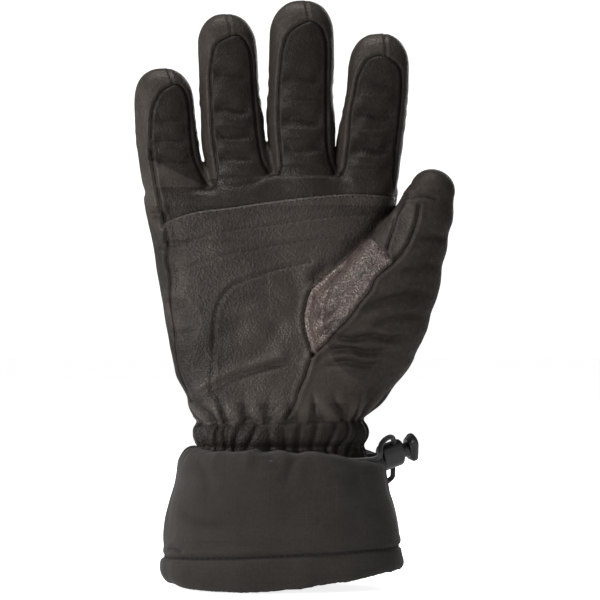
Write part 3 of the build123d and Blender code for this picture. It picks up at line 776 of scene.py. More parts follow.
def thumb_relief():
    # the thumb stands proud of the palm along its edge
    gap, side = near_line(THUMB_EDGE, view)
    mask = outer * np.clip(front + 0.2, 0, 1) * (z > 120) * (gap < 25)
    push(mask * np.where(side < 0, -1.9 * bell(gap, 4.0),
                         1.4 * bell(gap - 2.5, 4.0) * sstep(gap, 0.0, 1.0)))
    # painted shade in the crease where the thumb meets the palm
    paint_shade(mask * 0.8 * bell(gap, 0.9))
    body_front = outer * np.clip(front + 0.1, 0, 1) * (z > 80)
    thumb_front = is_thumb * np.clip(front + 0.2, 0, 1)
    for line, mask, depth, width, puff, shade in (
            (GUSSET_INNER, body_front, 0.9, 0.8, 0.4, 0.5),
            (GUSSET_OUTER, body_front, 0.8, 0.8, 0.45, 0.5),
            (STEM_SEAM, body_front, 0.8, 0.8, 0.4, 0.5),
            (CROSS_SEAM, thumb_front, 0.45, 0.7, 0.3, 0.35),
            (FACING_SEAM, thumb_front, 0.55, 0.6, 0.3, 0.5),
            (THUMB_TIP_SEAM, thumb_front, 0.6, 0.9, 0.3, 0.5)):
        groove(line, mask, depth, width, puff, shade)
    folds(LOW_THUMB_FOLDS, body_front, depth=1.55, width=0.66, puff=0.8, shade=0.5)
    folds(HIGH_THUMB_FOLDS, body_front, depth=1.55, width=0.9, puff=0.8, shade=0.5)


def wrist_relief():
    """Gathers right round the wrist, above and below an elastic line, with painted shade in the
    valleys, along the elastic line and over the recessed wrist below the upper gathers, and painted
    highlights on the upper ridges.
    """
    level = z - 0.02 * x
    arc = np.arctan2(y / 23.0, x / 42.0) * 33.0
    wave = noise2(arc, level * 0.45, (13.0, 9.0), 5)
    small_wave = noise2(arc, level * 0.6, (6.0, 7.0), 9)
    fan = (arc * (1 - 0.10 * np.clip((level - 84) / 14, 0, 1))
           + 0.16 * (level - 80) * np.sign(arc + 22))

    def pleats(pitch, shift):
        """Sharp valleys with round ridges between them, 0 in a valley and 1 on a ridge."""
        turns = fan / pitch + shift + 0.62 * wave + 0.22 * small_wave
        return np.abs(np.sin(math.pi * turns)) ** 0.8

    mask = outer * ~is_cuff
    amount = 0.55 + 0.45 * noise2(arc, level * 0.5, (8.0, 8.0), 17)
    upper = sstep(level, 80.5, 84.5) * sstep(level, 100.0, 87.0)
    lower = sstep(level, 64.0, 70.0) * sstep(level, 85.0, 80.5)
    wide, medium, fine = pleats(8.2, 0.0), pleats(5.4, 0.31), pleats(3.1, 0.77)
    ruffle = (upper * (2.9 * wide - 1.8) * amount
              + lower * (2.9 * medium + 0.7 * fine - 2.2) * amount)
    elastic = 1.2 * bell(level - 83.0, 1.7) + 1.5 * bell(level - 70.0, 2.2)
    puffed = 0.9 * bell(level - 77.0, 4.0) + 0.6 * bell(level - 90.0, 4.0) * (y < 0)
    push(mask * (ruffle + puffed - elastic))
    valleys = (upper * (1 - sstep(wide, 0.1, 0.6)) * 0.9
               + lower * (1 - sstep(medium, 0.1, 0.65)) * 0.95)
    # painted shade in the pleat valleys, along the elastic line and over the recessed wrist below
    # the upper gathers
    paint_shade(mask * valleys * np.clip(amount * 1.6, 0, 1))
    paint_shade(mask * 0.5 * bell(level - 83.0, 1.1) * (z > 60))
    paint_shade(mask * 0.76 * sstep(level, 90.0, 81.0) * (z > 60))
    # painted highlight on the tops of the upper pleats
    paint_highlight(mask * upper * sstep(wide, 0.7, 1.0) * 0.95)


def cuff_relief():
    """Soft hanging folds, the seam of the hem and the padded hem."""
    cuff = is_cuff.astype(float)
    folds(CUFF_FOLDS, cuff * front, depth=1.0, width=1.0, puff=0.7, shade=0.3)
    arc = np.arctan2(y / 37.0, x / 57.0) * 47.0
    hang = noise2(arc, z * 0.25 + 9, (17.0, 16.0), 21)
    small_hang = noise2(arc + z * 0.15, z * 0.5, (9.0, 12.0), 27)
    band = noise2(arc * 0.35, z, (14.0, 7.0), 47)
    push(cuff * sstep(z, 16, 30) * (1.2 * hang + 0.5 * small_hang + 0.45 * band))
    push(cuff * sstep(z, 56, 67) * 0.8 * noise2(arc, z * 0.2, (4.2, 5.0), 33))
    above = z - hem_seam(x)
    seam = bell(above, 0.95) * cuff
    push(-0.95 * seam + cuff * 0.5 * bell(above - 2.6, 1.8))
    # painted shade in the channel of the hem seam
    paint_shade(seam * 0.75)
    pad = 0.55 + 0.45 * noise2(arc, z * 0.3, (6.5, 9.0), 41)
    push(cuff * sstep(above, 0.0, -2.0) * pad)
    fold(CUFF_PLEAT, cuff * front, depth=0.9, width=1.4, puff=0.4, shade=0.4)


def cloth_relief():
    """Gentle unevenness of padded cloth, and the lining's own."""
    uneven = 0.40 * noise(verts, 16.0, 51) + 0.16 * noise(verts, 6.5, 53)
    push(outer * uneven * np.where(is_cuff, 0.7, 1.0))
    height[is_lining] = 0.35 * noise(verts[is_lining], 5.0, 61)


def palm_painted_light():
    """Painted highlights (sheen) and painted shade on areas of the palm."""
    below = view_z < 186
    painted_sheen = (sstep(view_x, -20.0, -50.0) * sstep(view_z, 186.0, 168.0)
             * sstep(view_z, 112.0, 132.0) * np.clip(noise(verts, 8.0, 71) * 1.6, 0, 1))
    painted_sheen = painted_sheen + 0.9 * bell(near_line(HEEL_HIGHLIGHT, view)[0], 4.5)
    painted_sheen = painted_sheen + 0.35 * sstep(view_z, 150.0, 120.0) * (0.5 + 0.6 * noise(verts, 9.0, 73))
    # painted highlights: sheen on the -X and lower parts of the palm and along the heel ridge
    paint_highlight(palm_front * below * np.clip(painted_sheen, 0, 1) * 0.55 * sstep(view_x, 30.0, 16.0))
    # painted shade on the lower -X part of the palm by the heel, and faintly on its upper -X part
    paint_shade(palm_front * 0.8 * sstep(view_x, -14.0, -34.0) * sstep(view_z, 142.0, 118.0))
    paint_shade(palm_front * 0.14 * sstep(view_x, -30.0, -48.0) * sstep(view_z, 186.0, 168.0))
    # painted highlights towards the finger roots and above the top of the palm
    middle = np.maximum(sstep(view_z, 150, 120) * sstep(view_x, -34, -16),
                        sstep(view_x, -14, 6))
    paint_highlight(palm_front * sstep(view_z, 188.0, 178.0) * sstep(view_x, 48.0, 22.0) * 0.50 * middle)
    paint_highlight(palm_front * ~below * 0.50 * sstep(view_z, 214.0, 192.0))


def back_relief():
    """Three sewn lines across the back of the hand."""
    for line in BACK_LINES:
        gap, _ = near_line(line, np.stack([x, z], 1))
        push(palm * back * (-0.8 * bell(gap, 0.9) + 0.6 * bell(gap - 2.6, 2.0)))
        # painted shade in the seam channels
        paint_shade(palm * back * 0.8 * bell(gap, 0.8))


for i, finger in enumerate(fingers):
    finger_relief(i, finger)
palm_relief()
heel_relief()
thumb_relief()
wrist_relief()
cuff_relief()
cloth_relief()
palm_painted_light()
back_relief()
verts = smooth(verts + normals * height[:, None], edges, 1)
normals = vertex_normals(verts, quads)


# ---------------------------------------------------------------- materials
def new_material(name):
    material = bpy.data.materials.new(name)
    material.use_nodes = True
    tree = material.node_tree
    return material, tree, tree.nodes["Principled BSDF"]


def object_coords(tree):
    return tree.nodes.new("ShaderNodeTexCoord").outputs["Object"]


def set_inputs(node, values):
    for name, value in values.items():
        node.inputs[name].default_value = value


def texture(tree, kind, coords, scale, detail=None):
    node = tree.nodes.new(f"ShaderNodeTex{kind}")
    node.inputs["Scale"].default_value = scale
    if detail is not None:
        node.inputs["Detail"].default_value = detail
    tree.links.new(coords, node.inputs["Vector"])
    return node.outputs[0]


def ramp(tree, factor, stops):
    """A colour ramp with two stops of position and colour."""
    node = tree.nodes.new("ShaderNodeValToRGB")
    tree.links.new(factor, node.inputs[0])
    for element, (position, colour) in zip(node.color_ramp.elements, stops):
        element.position = position
        element.color = (*colour, 1)
    return node.outputs[0]


def feed(tree, socket, value):
    """Links a socket to another, or gives it a number or a colour."""
    if isinstance(value, tuple):
        socket.default_value = (*value, 1)
    elif isinstance(value, (int, float)):
        socket.default_value = value
    else:
        tree.links.new(value, socket)


def calc(tree, operation, a, b):
    node = tree.nodes.new("ShaderNodeMath")
    node.operation = operation
    feed(tree, node.inputs[0], a)
    feed(tree, node.inputs[1], b)
    return node.outputs[0]


def weighted(tree, first, first_weight, second, second_weight):
    return calc(tree, "ADD", calc(tree, "MULTIPLY", first, first_weight),
                calc(tree, "MULTIPLY", second, second_weight))


def attribute(tree, name, weight):
    node = tree.nodes.new("ShaderNodeAttribute")
    node.attribute_name = name
    return calc(tree, "MULTIPLY", node.outputs["Fac"], weight)


def mix(tree, factor, a, b, blend="MIX"):
    node = tree.nodes.new("ShaderNodeMix")
    node.data_type = "RGBA"
    node.blend_type = blend
    for index, value in ((0, factor), (6, a), (7, b)):
        feed(tree, node.inputs[index], value)
    return node.outputs[2]


def map_range(tree, value, to_min, to_max, from_min=0, from_max=1):
    node = tree.nodes.new("ShaderNodeMapRange")
    tree.links.new(value, node.inputs["Value"])
    set_inputs(node, {"From Min": from_min, "From Max": from_max,
                      "To Min": to_min, "To Max": to_max})
    return node.outputs[0]


def add_bump(tree, shader, surface, strength, distance):
    node = tree.nodes.new("ShaderNodeBump")
    set_inputs(node, {"Strength": strength, "Distance": distance})
    tree.links.new(surface, node.inputs["Height"])
    tree.links.new(node.outputs[0], shader.inputs["Normal"])


def leather(name, low, high, grain, bump, rough, specular):
    """Pored leather, with painted shade in seams and creases and painted highlights (lighter
    colour) on ridges and lit edges, which are also smoother.
    """
    material, tree, shader = new_material(name)
    coords = object_coords(tree)
    pores = texture(tree, "Voronoi", coords, grain)
    fine = texture(tree, "Noise", coords, grain * 2.1, detail=3)
    broad = texture(tree, "Noise", coords, 38, detail=5)
    speckle = texture(tree, "Noise", coords, 420, detail=4)
    tone = weighted(tree, broad, 0.55, speckle, 0.45)
    colour = ramp(tree, tone, [(0.36, low), (0.66, high)])
    pore_tone = ramp(tree, pores, [(0.0, (0.62, 0.62, 0.62)), (0.5, (1.08, 1.05, 1.05))])
    colour = mix(tree, 0.8, colour, pore_tone, "MULTIPLY")
    # painted shade: the 'seam' attribute darkens the colour
    colour = mix(tree, attribute(tree, "seam", 0.85), colour, tuple(c * 0.12 for c in low))
    # painted highlights: the 'edge' attribute lightens the colour
    colour = mix(tree, attribute(tree, "edge", 0.45), colour,
                 tuple(min(1, c * 2.8) for c in high))
    tree.links.new(colour, shader.inputs["Base Color"])
    roughness = map_range(tree, tone, to_min=rough[1], to_max=rough[0],
                          from_min=0.35, from_max=0.7)
    roughness = calc(tree, "SUBTRACT", roughness, attribute(tree, "edge", 0.16))
    tree.links.new(roughness, shader.inputs["Roughness"])
    set_inputs(shader, {"Specular IOR Level": specular, "Specular Tint": (1.0, 0.93, 0.86, 1.0)})
    surface = weighted(tree, pores, 1.0, fine, 0.35)
    surface = calc(tree, "ADD", surface, calc(tree, "MULTIPLY", speckle, 0.28))
    add_bump(tree, shader, surface, strength=bump, distance=0.00045)
    return material


def woven(name, low, high, threads, bump, rough, sheen):
    """Cloth of two crossing sets of yarn, with painted shade in seams and creases."""
    material, tree, shader = new_material(name)
    coords = object_coords(tree)
    yarn = []
    for stretch in ((1.0, 1.0, 0.07), (0.07, 0.07, 1.0)):
        mapping = tree.nodes.new("ShaderNodeMapping")
        mapping.inputs["Scale"].default_value = tuple(v * threads for v in stretch)
        tree.links.new(coords, mapping.inputs["Vector"])
        yarn.append(texture(tree, "Noise", mapping.outputs[0], 1.0, detail=1))
    weave = calc(tree, "MULTIPLY", calc(tree, "ADD", *yarn), 0.5)
    fine = texture(tree, "Noise", coords, 900, detail=2)
    broad = texture(tree, "Noise", coords, 45, detail=5)
    tone = calc(tree, "ADD", calc(tree, "MULTIPLY", weave, 0.35),
                weighted(tree, fine, 0.4, broad, 0.35))
    colour = ramp(tree, tone, [(0.3, low), (0.8, high)])
    # painted shade: the 'seam' attribute darkens the colour
    colour = mix(tree, attribute(tree, "seam", 0.8), colour, tuple(c * 0.15 for c in low))
    tree.links.new(colour, shader.inputs["Base Color"])
    set_inputs(shader, {"Roughness": rough, "Sheen Weight": sheen, "Sheen Roughness": 0.6,
                        "Specular IOR Level": 0.15})
    surface = weighted(tree, weave, 1.4, fine, 0.3)
    add_bump(tree, shader, surface, strength=bump, distance=0.0004)
    return material


def plastic(name, colour, rough):
    """A plain hard surface with faint mottling."""
    material, tree, shader = new_material(name)
    mottle = texture(tree, "Noise", object_coords(tree), 260, detail=4)
    tone = ramp(tree, mottle, [(0.3, tuple(v * 0.7 for v in colour)),
                               (0.75, tuple(v * 1.5 for v in colour))])
    tree.links.new(tone, shader.inputs["Base Color"])
    roughness = map_range(tree, mottle, to_min=rough - 0.08, to_max=rough + 0.15)
    tree.links.new(roughness, shader.inputs["Roughness"])
    add_bump(tree, shader, mottle, strength=0.15, distance=0.0002)
    return material


# leather: dark tone, light tone, grain scale, bump, roughness (least, most), specular
# woven: dark tone, light tone, thread scale, bump, roughness, sheen
# plastic: colour, roughness
LOOKS = (
    (leather, "palm_leather", (0.0110, 0.0088, 0.0072), (0.0285, 0.0240, 0.0208),
     900, 0.65, (0.44, 0.60), 0.22),
    # a darker copy of the palm leather: painted shade for the finger palms and the palm above the
    # patch
    (leather, "finger_leather", (0.0050, 0.0040, 0.0031), (0.0135, 0.0111, 0.0092),
     1100, 0.45, (0.40, 0.58), 0.19),
    (leather, "strip_leather", (0.0110, 0.0088, 0.0070), (0.026, 0.0215, 0.0180),
     1000, 0.4, (0.46, 0.64), 0.24),
    (leather, "grain_leather", (0.0150, 0.0104, 0.0099), (0.067, 0.0500, 0.0450),
     950, 0.8, (0.28, 0.42), 0.5),
    (leather, "outer_fabric", (0.0125, 0.0100, 0.0080), (0.027, 0.0222, 0.0187),
     1300, 0.3, (0.52, 0.70), 0.2),
    (woven, "wrist_fabric", (0.0075, 0.0060, 0.0048), (0.019, 0.0158, 0.0133),
     1000, 0.4, 0.75, 0.1),
    (woven, "cuff_fabric", (0.0112, 0.0092, 0.0074), (0.0275, 0.0234, 0.0200),
     1300, 0.5, 0.85, 0.08),
    (woven, "hem_fabric", (0.0113, 0.0094, 0.0076), (0.0275, 0.0235, 0.0202),
     1300, 0.5, 0.85, 0.08),
    (woven, "fleece", (0.02, 0.02, 0.022), (0.07, 0.07, 0.075), 500, 0.9, 0.95, 0.6),
    (leather, "thread", (0.006, 0.0055, 0.005), (0.020, 0.0175, 0.016),
     900, 0.3, (0.5, 0.65), 0.2),
    # near-black seam cords: painted shade of the seam lines
    (leather, "piping", (0.0035, 0.003, 0.0028), (0.009, 0.008, 0.0072),
     900, 0.3, (0.6, 0.75), 0.1),
    (woven, "cord", (0.010, 0.010, 0.010), (0.035, 0.034, 0.033), 1500, 0.8, 0.7, 0.2),
    (plastic, "black_plastic", (0.012, 0.012, 0.0125), 0.32),
    (plastic, "spring_steel", (0.4, 0.4, 0.4), 0.3),
)
MATERIALS = {name: maker(f"{name}_look", *settings) for maker, name, *settings in LOOKS}

# ---------------------------------------------------------------- cutting into pieces
WRIST_LO, WRIST_HI = 68.0, 96.0


def cut_surface():
    """The segment (what moves together) and the panel (what it is cut from) of each face."""
    centre = verts[quads].mean(1)
    flat = project(centre)
    flat_x, flat_z = flat.T
    facing = -normals[quads].mean(1)[:, 1]
    fx, fy, fz = centre.T

    def vote(mask):
        return mask[quads].sum(1) >= 2

    lining = vote(is_lining)
    cuff = vote(is_cuff) & ~lining
    thumb = vote(is_thumb) & ~lining
    segment = np.full(len(quads), "", dtype=object)
    panel = np.full(len(quads), "back", dtype=object)
    segment[lining & (fz < 184.5)] = "lining"
    segment[cuff] = "cuff"
    free = segment == ""
    segment[cuff & (fz < hem_seam(fx))] = "hem"
    # the root of the thumb stays with the hand
    thumb_reach = (centre - thumb_root) @ thumb_up
    thumb_piece = free & thumb & (thumb_reach > -16)
    segment[thumb_piece & (thumb_reach <= THUMB_CUT)] = "thumb_base"
    segment[thumb_piece & (thumb_reach > THUMB_CUT)] = "thumb_tip"
    for i, finger in enumerate(fingers):
        share, reach, across, _ = finger_coords(finger, fx, fy, fz)
        own = free & vote(on_finger[i]) & ~thumb & ~lining & (reach > -1.0)
        segment[own & (reach <= finger.cut)] = finger.name + "_base"
        segment[own & (reach > finger.cut)] = finger.name + "_tip"
        panel[own] = "strip"
        panel[own & (np.abs(across) < back_half_width(finger, share)) & (facing < 0)] = "back"
        outline = smooth_curve(FINGER_SEAM[finger.name])
        panel[own & in_polygon(flat, outline) & (facing > 0.05)] = "palm"
    free = segment == ""
    segment[free & (fz <= WRIST_HI)] = "wrist"
    segment[free & (fz > WRIST_HI)] = "hand"

    hand, wrist = segment == "hand", segment == "wrist"
    hand_front = hand & (facing > 0.0)
    palm_outline = [smooth_curve(SIDE_SEAM), [[60, 90], [80, 160], [62, 218], [-64, 218]]]
    patch_outline = [smooth_curve(PATCH_TOP), [[70, 150], [60, 80], [-70, 80], [-70, 150]]]
    in_palm = in_polygon(flat, np.vstack(palm_outline))
    panel[hand_front] = "strip"
    panel[hand_front & in_palm] = "palm"
    panel[hand_front & in_palm & in_polygon(flat, np.vstack(patch_outline))] = "patch"

    # the gusset runs from the palm onto the thumb; the facing lies beyond the cross seam
    outer_curve = smooth_curve(GUSSET_OUTER)
    gusset_outline = np.vstack([smooth_curve(GUSSET_INNER), outer_curve, GUSSET_TIP,
                                smooth_curve(THUMB_EDGE)])
    in_gusset = in_polygon(flat, gusset_outline) & (facing > -0.1)
    on_thumb = np.isin(segment, ["thumb_base", "thumb_tip"])
    gusset = (on_thumb | (hand & (flat_x > 8))) & in_gusset
    (seam_x, seam_z), (end_x, end_z) = CROSS_SEAM[0], CROSS_SEAM[-1]
    beside = (flat_x - seam_x) * (end_z - seam_z) - (flat_z - seam_z) * (end_x - seam_x)
    panel[on_thumb] = "outer"
    panel[gusset & (beside > 0)] = "gusset"
    panel[gusset & (beside <= 0)] = "facing"

    # the stem seam parts the patch from the outer cloth below the gusset
    foot_z = GUSSET_OUTER[0, 1]
    stem_x, stem_z = smooth_curve(np.vstack([STEM_SEAM, STEM_END]))[::-1].T
    beyond_stem = flat_x > np.interp(flat_z, stem_z, stem_x)
    panel[(wrist | (hand & (flat_z < foot_z))) & (facing > 0.0) & beyond_stem] = "outer"
    panel[wrist & (facing > 0.0) & ~beyond_stem] = "patch"
    beyond_gusset = flat_x > np.interp(flat_z, outer_curve[:, 1], outer_curve[:, 0])
    panel[hand_front & (flat_z < 125) & (flat_z >= foot_z) & ~in_gusset & beyond_gusset] = "outer"
    return segment, panel


segments, panels = cut_surface()
SLOT = {"palm": "palm_leather", "patch": "palm_leather", "strip": "strip_leather",
        "back": "outer_fabric", "gusset": "grain_leather", "outer": "outer_fabric",
        "facing": "palm_leather"}
LOOK = {"palm": "finger_leather", "facing": "strip_leather"}    # where it isn't the slot's own; the darker leather of the palm panels is a shaded copy of the palm leather, painted shade

# segments that bend: the two nodes they blend between, and where the blend starts and ends
BLEND = {
    "thumb_base": ("hand", "thumb_base", thumb_root - thumb_up * 16, thumb_root + thumb_up * 22),
    "thumb_tip": ("thumb_base", "thumb_tip", thumb_mid - thumb_up * 12, thumb_mid + thumb_up * 14),
    "wrist": ("gauntlet", "hand", np.array([0, 0, WRIST_LO]), np.array([0, 0, 88.0])),
    "lining": ("gauntlet", "hand", np.array([0, 0, 62.0]), np.array([0, 0, 92.0])),
}
for finger in fingers:
    base, tip = finger.name + "_base", finger.name + "_tip"
    half = min(12.5, float(np.linalg.norm(finger.mid - finger.base)) - finger.cut)
    BLEND[base] = ("hand", base, finger.base - finger.up * 1.0,
                   finger.base + finger.up * finger.cut)
    BLEND[tip] = (base, tip, finger.mid - finger.up * half, finger.mid + finger.up * half)

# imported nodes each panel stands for
PANEL_NODES = {
    "hand": {"palm": ["palm_panel"], "patch": ["palm_patch", "hand_membrane"],
             "strip": ["side_gusset"], "back": ["back_panel"], "outer": ["side_gusset"],
             "gusset": ["palm_panel"], "facing": ["palm_panel"]},
    "thumb_base": {"gusset": ["thumb_leather_gusset"], "outer": ["thumb_base_outer"],
                   "facing": ["thumb_leather_gusset"]},
    "thumb_tip": {"gusset": ["thumb_tip_palm"], "outer": ["thumb_tip_outer"],
                  "facing": ["thumb_tip_palm"]},
    "wrist": dict.fromkeys(("patch", "outer", "back"), ["wrist_casing", "wrist_elastics"]),
}
for finger in fingers:
    for piece in (finger.name + "_base", finger.name + "_tip"):
        PANEL_NODES[piece] = {"palm": [piece + "_palm"], "strip": [piece + "_gusset"],
                              "back": [piece + "_back"]}
# segments made of one cloth: slot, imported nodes
WHOLE = {
    "cuff": ("cuff_fabric", ["cuff_shell", "cuff_insulation"]),
    "hem": ("hem_fabric", ["hem_band"]),
    "lining": ("fleece", ["hand_lining", "cuff_lining"]),
}


def link_object(name, mesh):
    obj = bpy.data.objects.new(name, mesh)
    bpy.context.scene.collection.objects.link(obj)
    return obj


def add_piece(name, vertices, faces, look, segment, nodes=(), used=None):
    """A smooth mesh tied to its segment; used gives its vertices' places in the glove surface."""
    mesh = bpy.data.meshes.new(name)
    mesh.from_pydata((vertices * MM).tolist(), [], faces)
    mesh.polygons.foreach_set("use_smooth", np.ones(len(faces), bool))
    if used is not None:
        # 'seam' carries painted shade and 'edge' carries painted highlights
        for layer, values in (("seam", painted_shade), ("edge", painted_highlight)):
            attr = mesh.attributes.new(layer, "FLOAT", "POINT")
            attr.data.foreach_set("value", values[used].astype(np.float32))
    mesh.update()
    if used is not None:
        mesh.normals_split_custom_set_from_vertices(normals[used].tolist())
    obj = link_object(name, mesh)
    mesh.materials.append(MATERIALS[look])
    if segment in BLEND:
        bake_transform(obj)
    else:
        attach(obj, "hand" if segment == "hand" else "gauntlet")
    if nodes:
        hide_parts(*nodes)


# ---------------------------------------------------------------- padding under the shell
FORM_DEPTH = 0.0009     # metres the padding keeps under the shell
surface = BVHTree.FromPolygons((verts * MM).tolist(), quads.tolist())


def add_form(name, vertices, faces, node, segment):
    """Cloth-covered padding; it shows only where the shell opens as a joint bends."""
    used, inverse = np.unique(faces, return_inverse=True)
    vertices = vertices[used]
    for i, point in enumerate(vertices * MM):       # keep it under every crease of the shell
        hit, normal, _, distance = surface.find_nearest(Vector(point))
        if distance < 0.005 and (Vector(point) - hit).dot(normal) > -FORM_DEPTH:
            vertices[i] = np.array(hit - normal * FORM_DEPTH) * 1000
    add_piece(name, vertices, inverse.reshape(-1, 4).tolist(), "outer_fabric",
              segment, [node])


def add_jointed_forms(name, distance, lo, hi, origin, up, cut):
    """The padding of a finger or the thumb, parted into base and tip."""
    axes = spread(*(np.arange(a, b, FORM_STEP) for a, b in zip(lo, hi)))
    vertices, faces = surface_net(distance(*axes), FORM_STEP, lo)
    in_base = (vertices[faces].mean(1) - origin) @ up <= cut
    for part, chosen in (("base", in_base), ("tip", ~in_base)):
        piece = f"{name}_{part}"
        add_form(f"{piece}_form", vertices, faces[chosen], f"{piece}_liner", piece)


def add_finger_forms(finger):
    base_x, _, base_z = finger.base
    ends = sorted((base_x, base_x + math.tan(finger.lean) * finger.length))

    def distance(x, y, z):
        gap = finger_sdf(finger, x, y, z) + 1.0 + 1.4 * sstep(z, base_z + 3, base_z - 10)
        return smax(gap, base_z - 10 - z, 3.0)

    add_jointed_forms(finger.name, distance, (ends[0] - 20, -24, base_z - 13),
                      (ends[1] + 20, 16, base_z + finger.length + 2),
                      finger.base, finger.up, finger.cut)


for finger in fingers:
    add_finger_forms(finger)
add_jointed_forms("thumb", lambda x, y, z: thumb_sdf(x, y, z) + 1.0, (8, -44, 86), (88, 14, 208),
                  thumb_root, thumb_up, THUMB_CUT)
add_form("hand_form", *surface_net(hand_padding[::2, ::2, ::2].copy(), 2 * STEP, GRID_LO),
         "hand_insulation", "hand")


# ---------------------------------------------------------------- the shell
def add_skin(name, chosen, look, segment, nodes):
    faces = quads[chosen]
    if len(faces) < 12:     # leave out crumbs
        return
    used, inverse = np.unique(faces, return_inverse=True)
    add_piece(name, verts[used], inverse.reshape(-1, 4).tolist(), look, segment, nodes, used)


for segment in sorted(set(segments)):
    chosen = segments == segment
    if segment in WHOLE:
        slot, nodes = WHOLE[segment]
        add_skin(f"{segment}_skin", chosen, slot, segment, nodes)
        continue
    for panel in sorted(set(panels[chosen])):
        slot = SLOT[panel]
        add_skin(f"{segment}_{panel}_skin", chosen & (panels == panel), LOOK.get(panel, slot),
                 segment, PANEL_NODES[segment][panel])

# ---------------------------------------------------------------- stitches and seam cords
SIDES = 6                   # of a thread or cord
SAMPLES = 6                 # points cast per stitch pitch
CORD_STEP = 0.9
CORD_SINK = 0.06
HEM_SAMPLES = 420           # round the cuff; a stitch takes 3 of every 4
# along a stitch: share of its length, share of its radius, lift in radii
STITCH_RINGS = ((0.0, 0.35, -0.9), (0.16, 0.85, -0.25), (0.5, 1.0, 0.15), (0.84, 0.85, -0.25),
                (1.0, 0.35, -0.9))
camera_place = np.array([CAMERA_X, -CAMERA_DISTANCE, CAMERA_Z])
stitches, cords = {}, {}    # segment: list of vertices and faces


def cast(origin, direction):
    """Place, normal and segment where a ray meets the glove, or None."""
    hit, normal, face, _ = surface.ray_cast(Vector(origin * MM), Vector(direction))
    return None if hit is None else (np.array(hit) * 1000, np.array(normal), segments[face])


def cast_line(line, step, offset, from_front):
    """A line shifted sideways by offset and cast onto the glove every step."""
    curve = smooth_curve(line, 0.6)
    length = np.concatenate([[0], np.cumsum(np.linalg.norm(np.diff(curve, axis=0), axis=1))])
    along = np.arange(0, length[-1], step)
    points = np.stack([np.interp(along, length, curve[:, axis]) for axis in (0, 1)], 1)
    tangent = np.gradient(points, axis=0)
    tangent /= np.maximum(np.linalg.norm(tangent, axis=1), 1e-9)[:, None]
    points = points + np.stack([-tangent[:, 1], tangent[:, 0]], 1) * offset
    hits = []
    for px, pz in points:
        if from_front:
            origin = camera_place
            direction = np.array([px, 0.0, pz]) - origin
        else:
            origin = np.array([px, 200.0, pz])
            direction = np.array([0.0, -1.0, 0.0])
        hits.append(cast(origin, direction / np.linalg.norm(direction)))
    return hits


def ring(centre, across, up, radius):
    angles = [2 * math.pi * k / SIDES for k in range(SIDES)]
    return [centre + (across * math.cos(w) + up * math.sin(w)) * radius for w in angles]


def ring_faces(count):
    """Faces of a closed tube of so many rings."""
    faces = [(i * SIDES + k, i * SIDES + (k + 1) % SIDES,
              (i + 1) * SIDES + (k + 1) % SIDES, (i + 1) * SIDES + k)
             for i in range(count - 1) for k in range(SIDES)]
    faces.append(tuple(range(SIDES))[::-1])
    faces.append(tuple((count - 1) * SIDES + k for k in range(SIDES)))
    return faces


def add_stitch(first, second, radius, sink, segment):
    """A short stitch lying on the cloth between two cast points."""
    start, normal = first[0], (first[1] + second[1]) / 2
    length = np.linalg.norm(second[0] - start)
    along = (second[0] - start) / length
    across = np.cross(normal, along)
    across /= max(np.linalg.norm(across), 1e-9)
    up = np.cross(along, across)
    points = []
    for share, size, lift in STITCH_RINGS:
        centre = start + along * length * share + normal * (radius * lift - sink)
        points += ring(centre, across, up, radius * size)
    part = (np.array(points), ring_faces(len(STITCH_RINGS)))
    stitches.setdefault(segment, []).append(part)


def stitch_line(line, pitch, length, radius, offset=0.0, from_front=True):
    hits = cast_line(line, pitch / SAMPLES, offset, from_front)
    span = int(round(length / pitch * SAMPLES))
    for i in range(0, len(hits) - span, SAMPLES):
        first, second = hits[i], hits[i + span]
        if first is None or second is None:
            continue
        if np.linalg.norm(first[0] - second[0]) < length * 1.8:
            add_stitch(first, second, radius, 0.1, first[2])


def stitch_hem():
    """The hem's stitches run right round the cuff."""
    hits = []
    for k in range(HEM_SAMPLES):
        angle = 2 * math.pi * k / HEM_SAMPLES
        outward = np.array([math.cos(angle), 0.66 * math.sin(angle), 0])
        outward /= np.linalg.norm(outward)
        level = hem_seam(math.cos(angle) * 57)
        hits.append(cast(np.array([outward[0] * 120, outward[1] * 120, level]), -outward))
    for k in range(0, HEM_SAMPLES - 4, 4):
        first, second = hits[k], hits[k + 3]
        if first and second and np.linalg.norm(first[0] - second[0]) < 5:
            add_stitch(first, second, 0.38, 0.05, "hem")


def add_cord(run, radius, segment):
    """A thin cord through cast points, flattened a little and narrowed at its ends."""
    if len(run) <= 2:
        return
    points = np.array([point - normal * CORD_SINK for point, normal in run])
    up = np.array([normal for _, normal in run])
    for _ in range(2):
        for values in (points, up):
            values[1:-1] = (values[:-2] + 2 * values[1:-1] + values[2:]) / 4
    tangent = np.gradient(points, axis=0)
    tangent /= np.maximum(np.linalg.norm(tangent, axis=1), 1e-9)[:, None]
    across = np.cross(up, tangent)
    across /= np.maximum(np.linalg.norm(across, axis=1), 1e-9)[:, None]
    up = np.cross(tangent, across)
    out = []
    for i, point in enumerate(points):
        end = i in (0, len(points) - 1)
        out += ring(point, across[i], up[i] * 0.8, radius * (0.55 if end else 1.0))
    cords.setdefault(segment, []).append((np.array(out), ring_faces(len(points))))


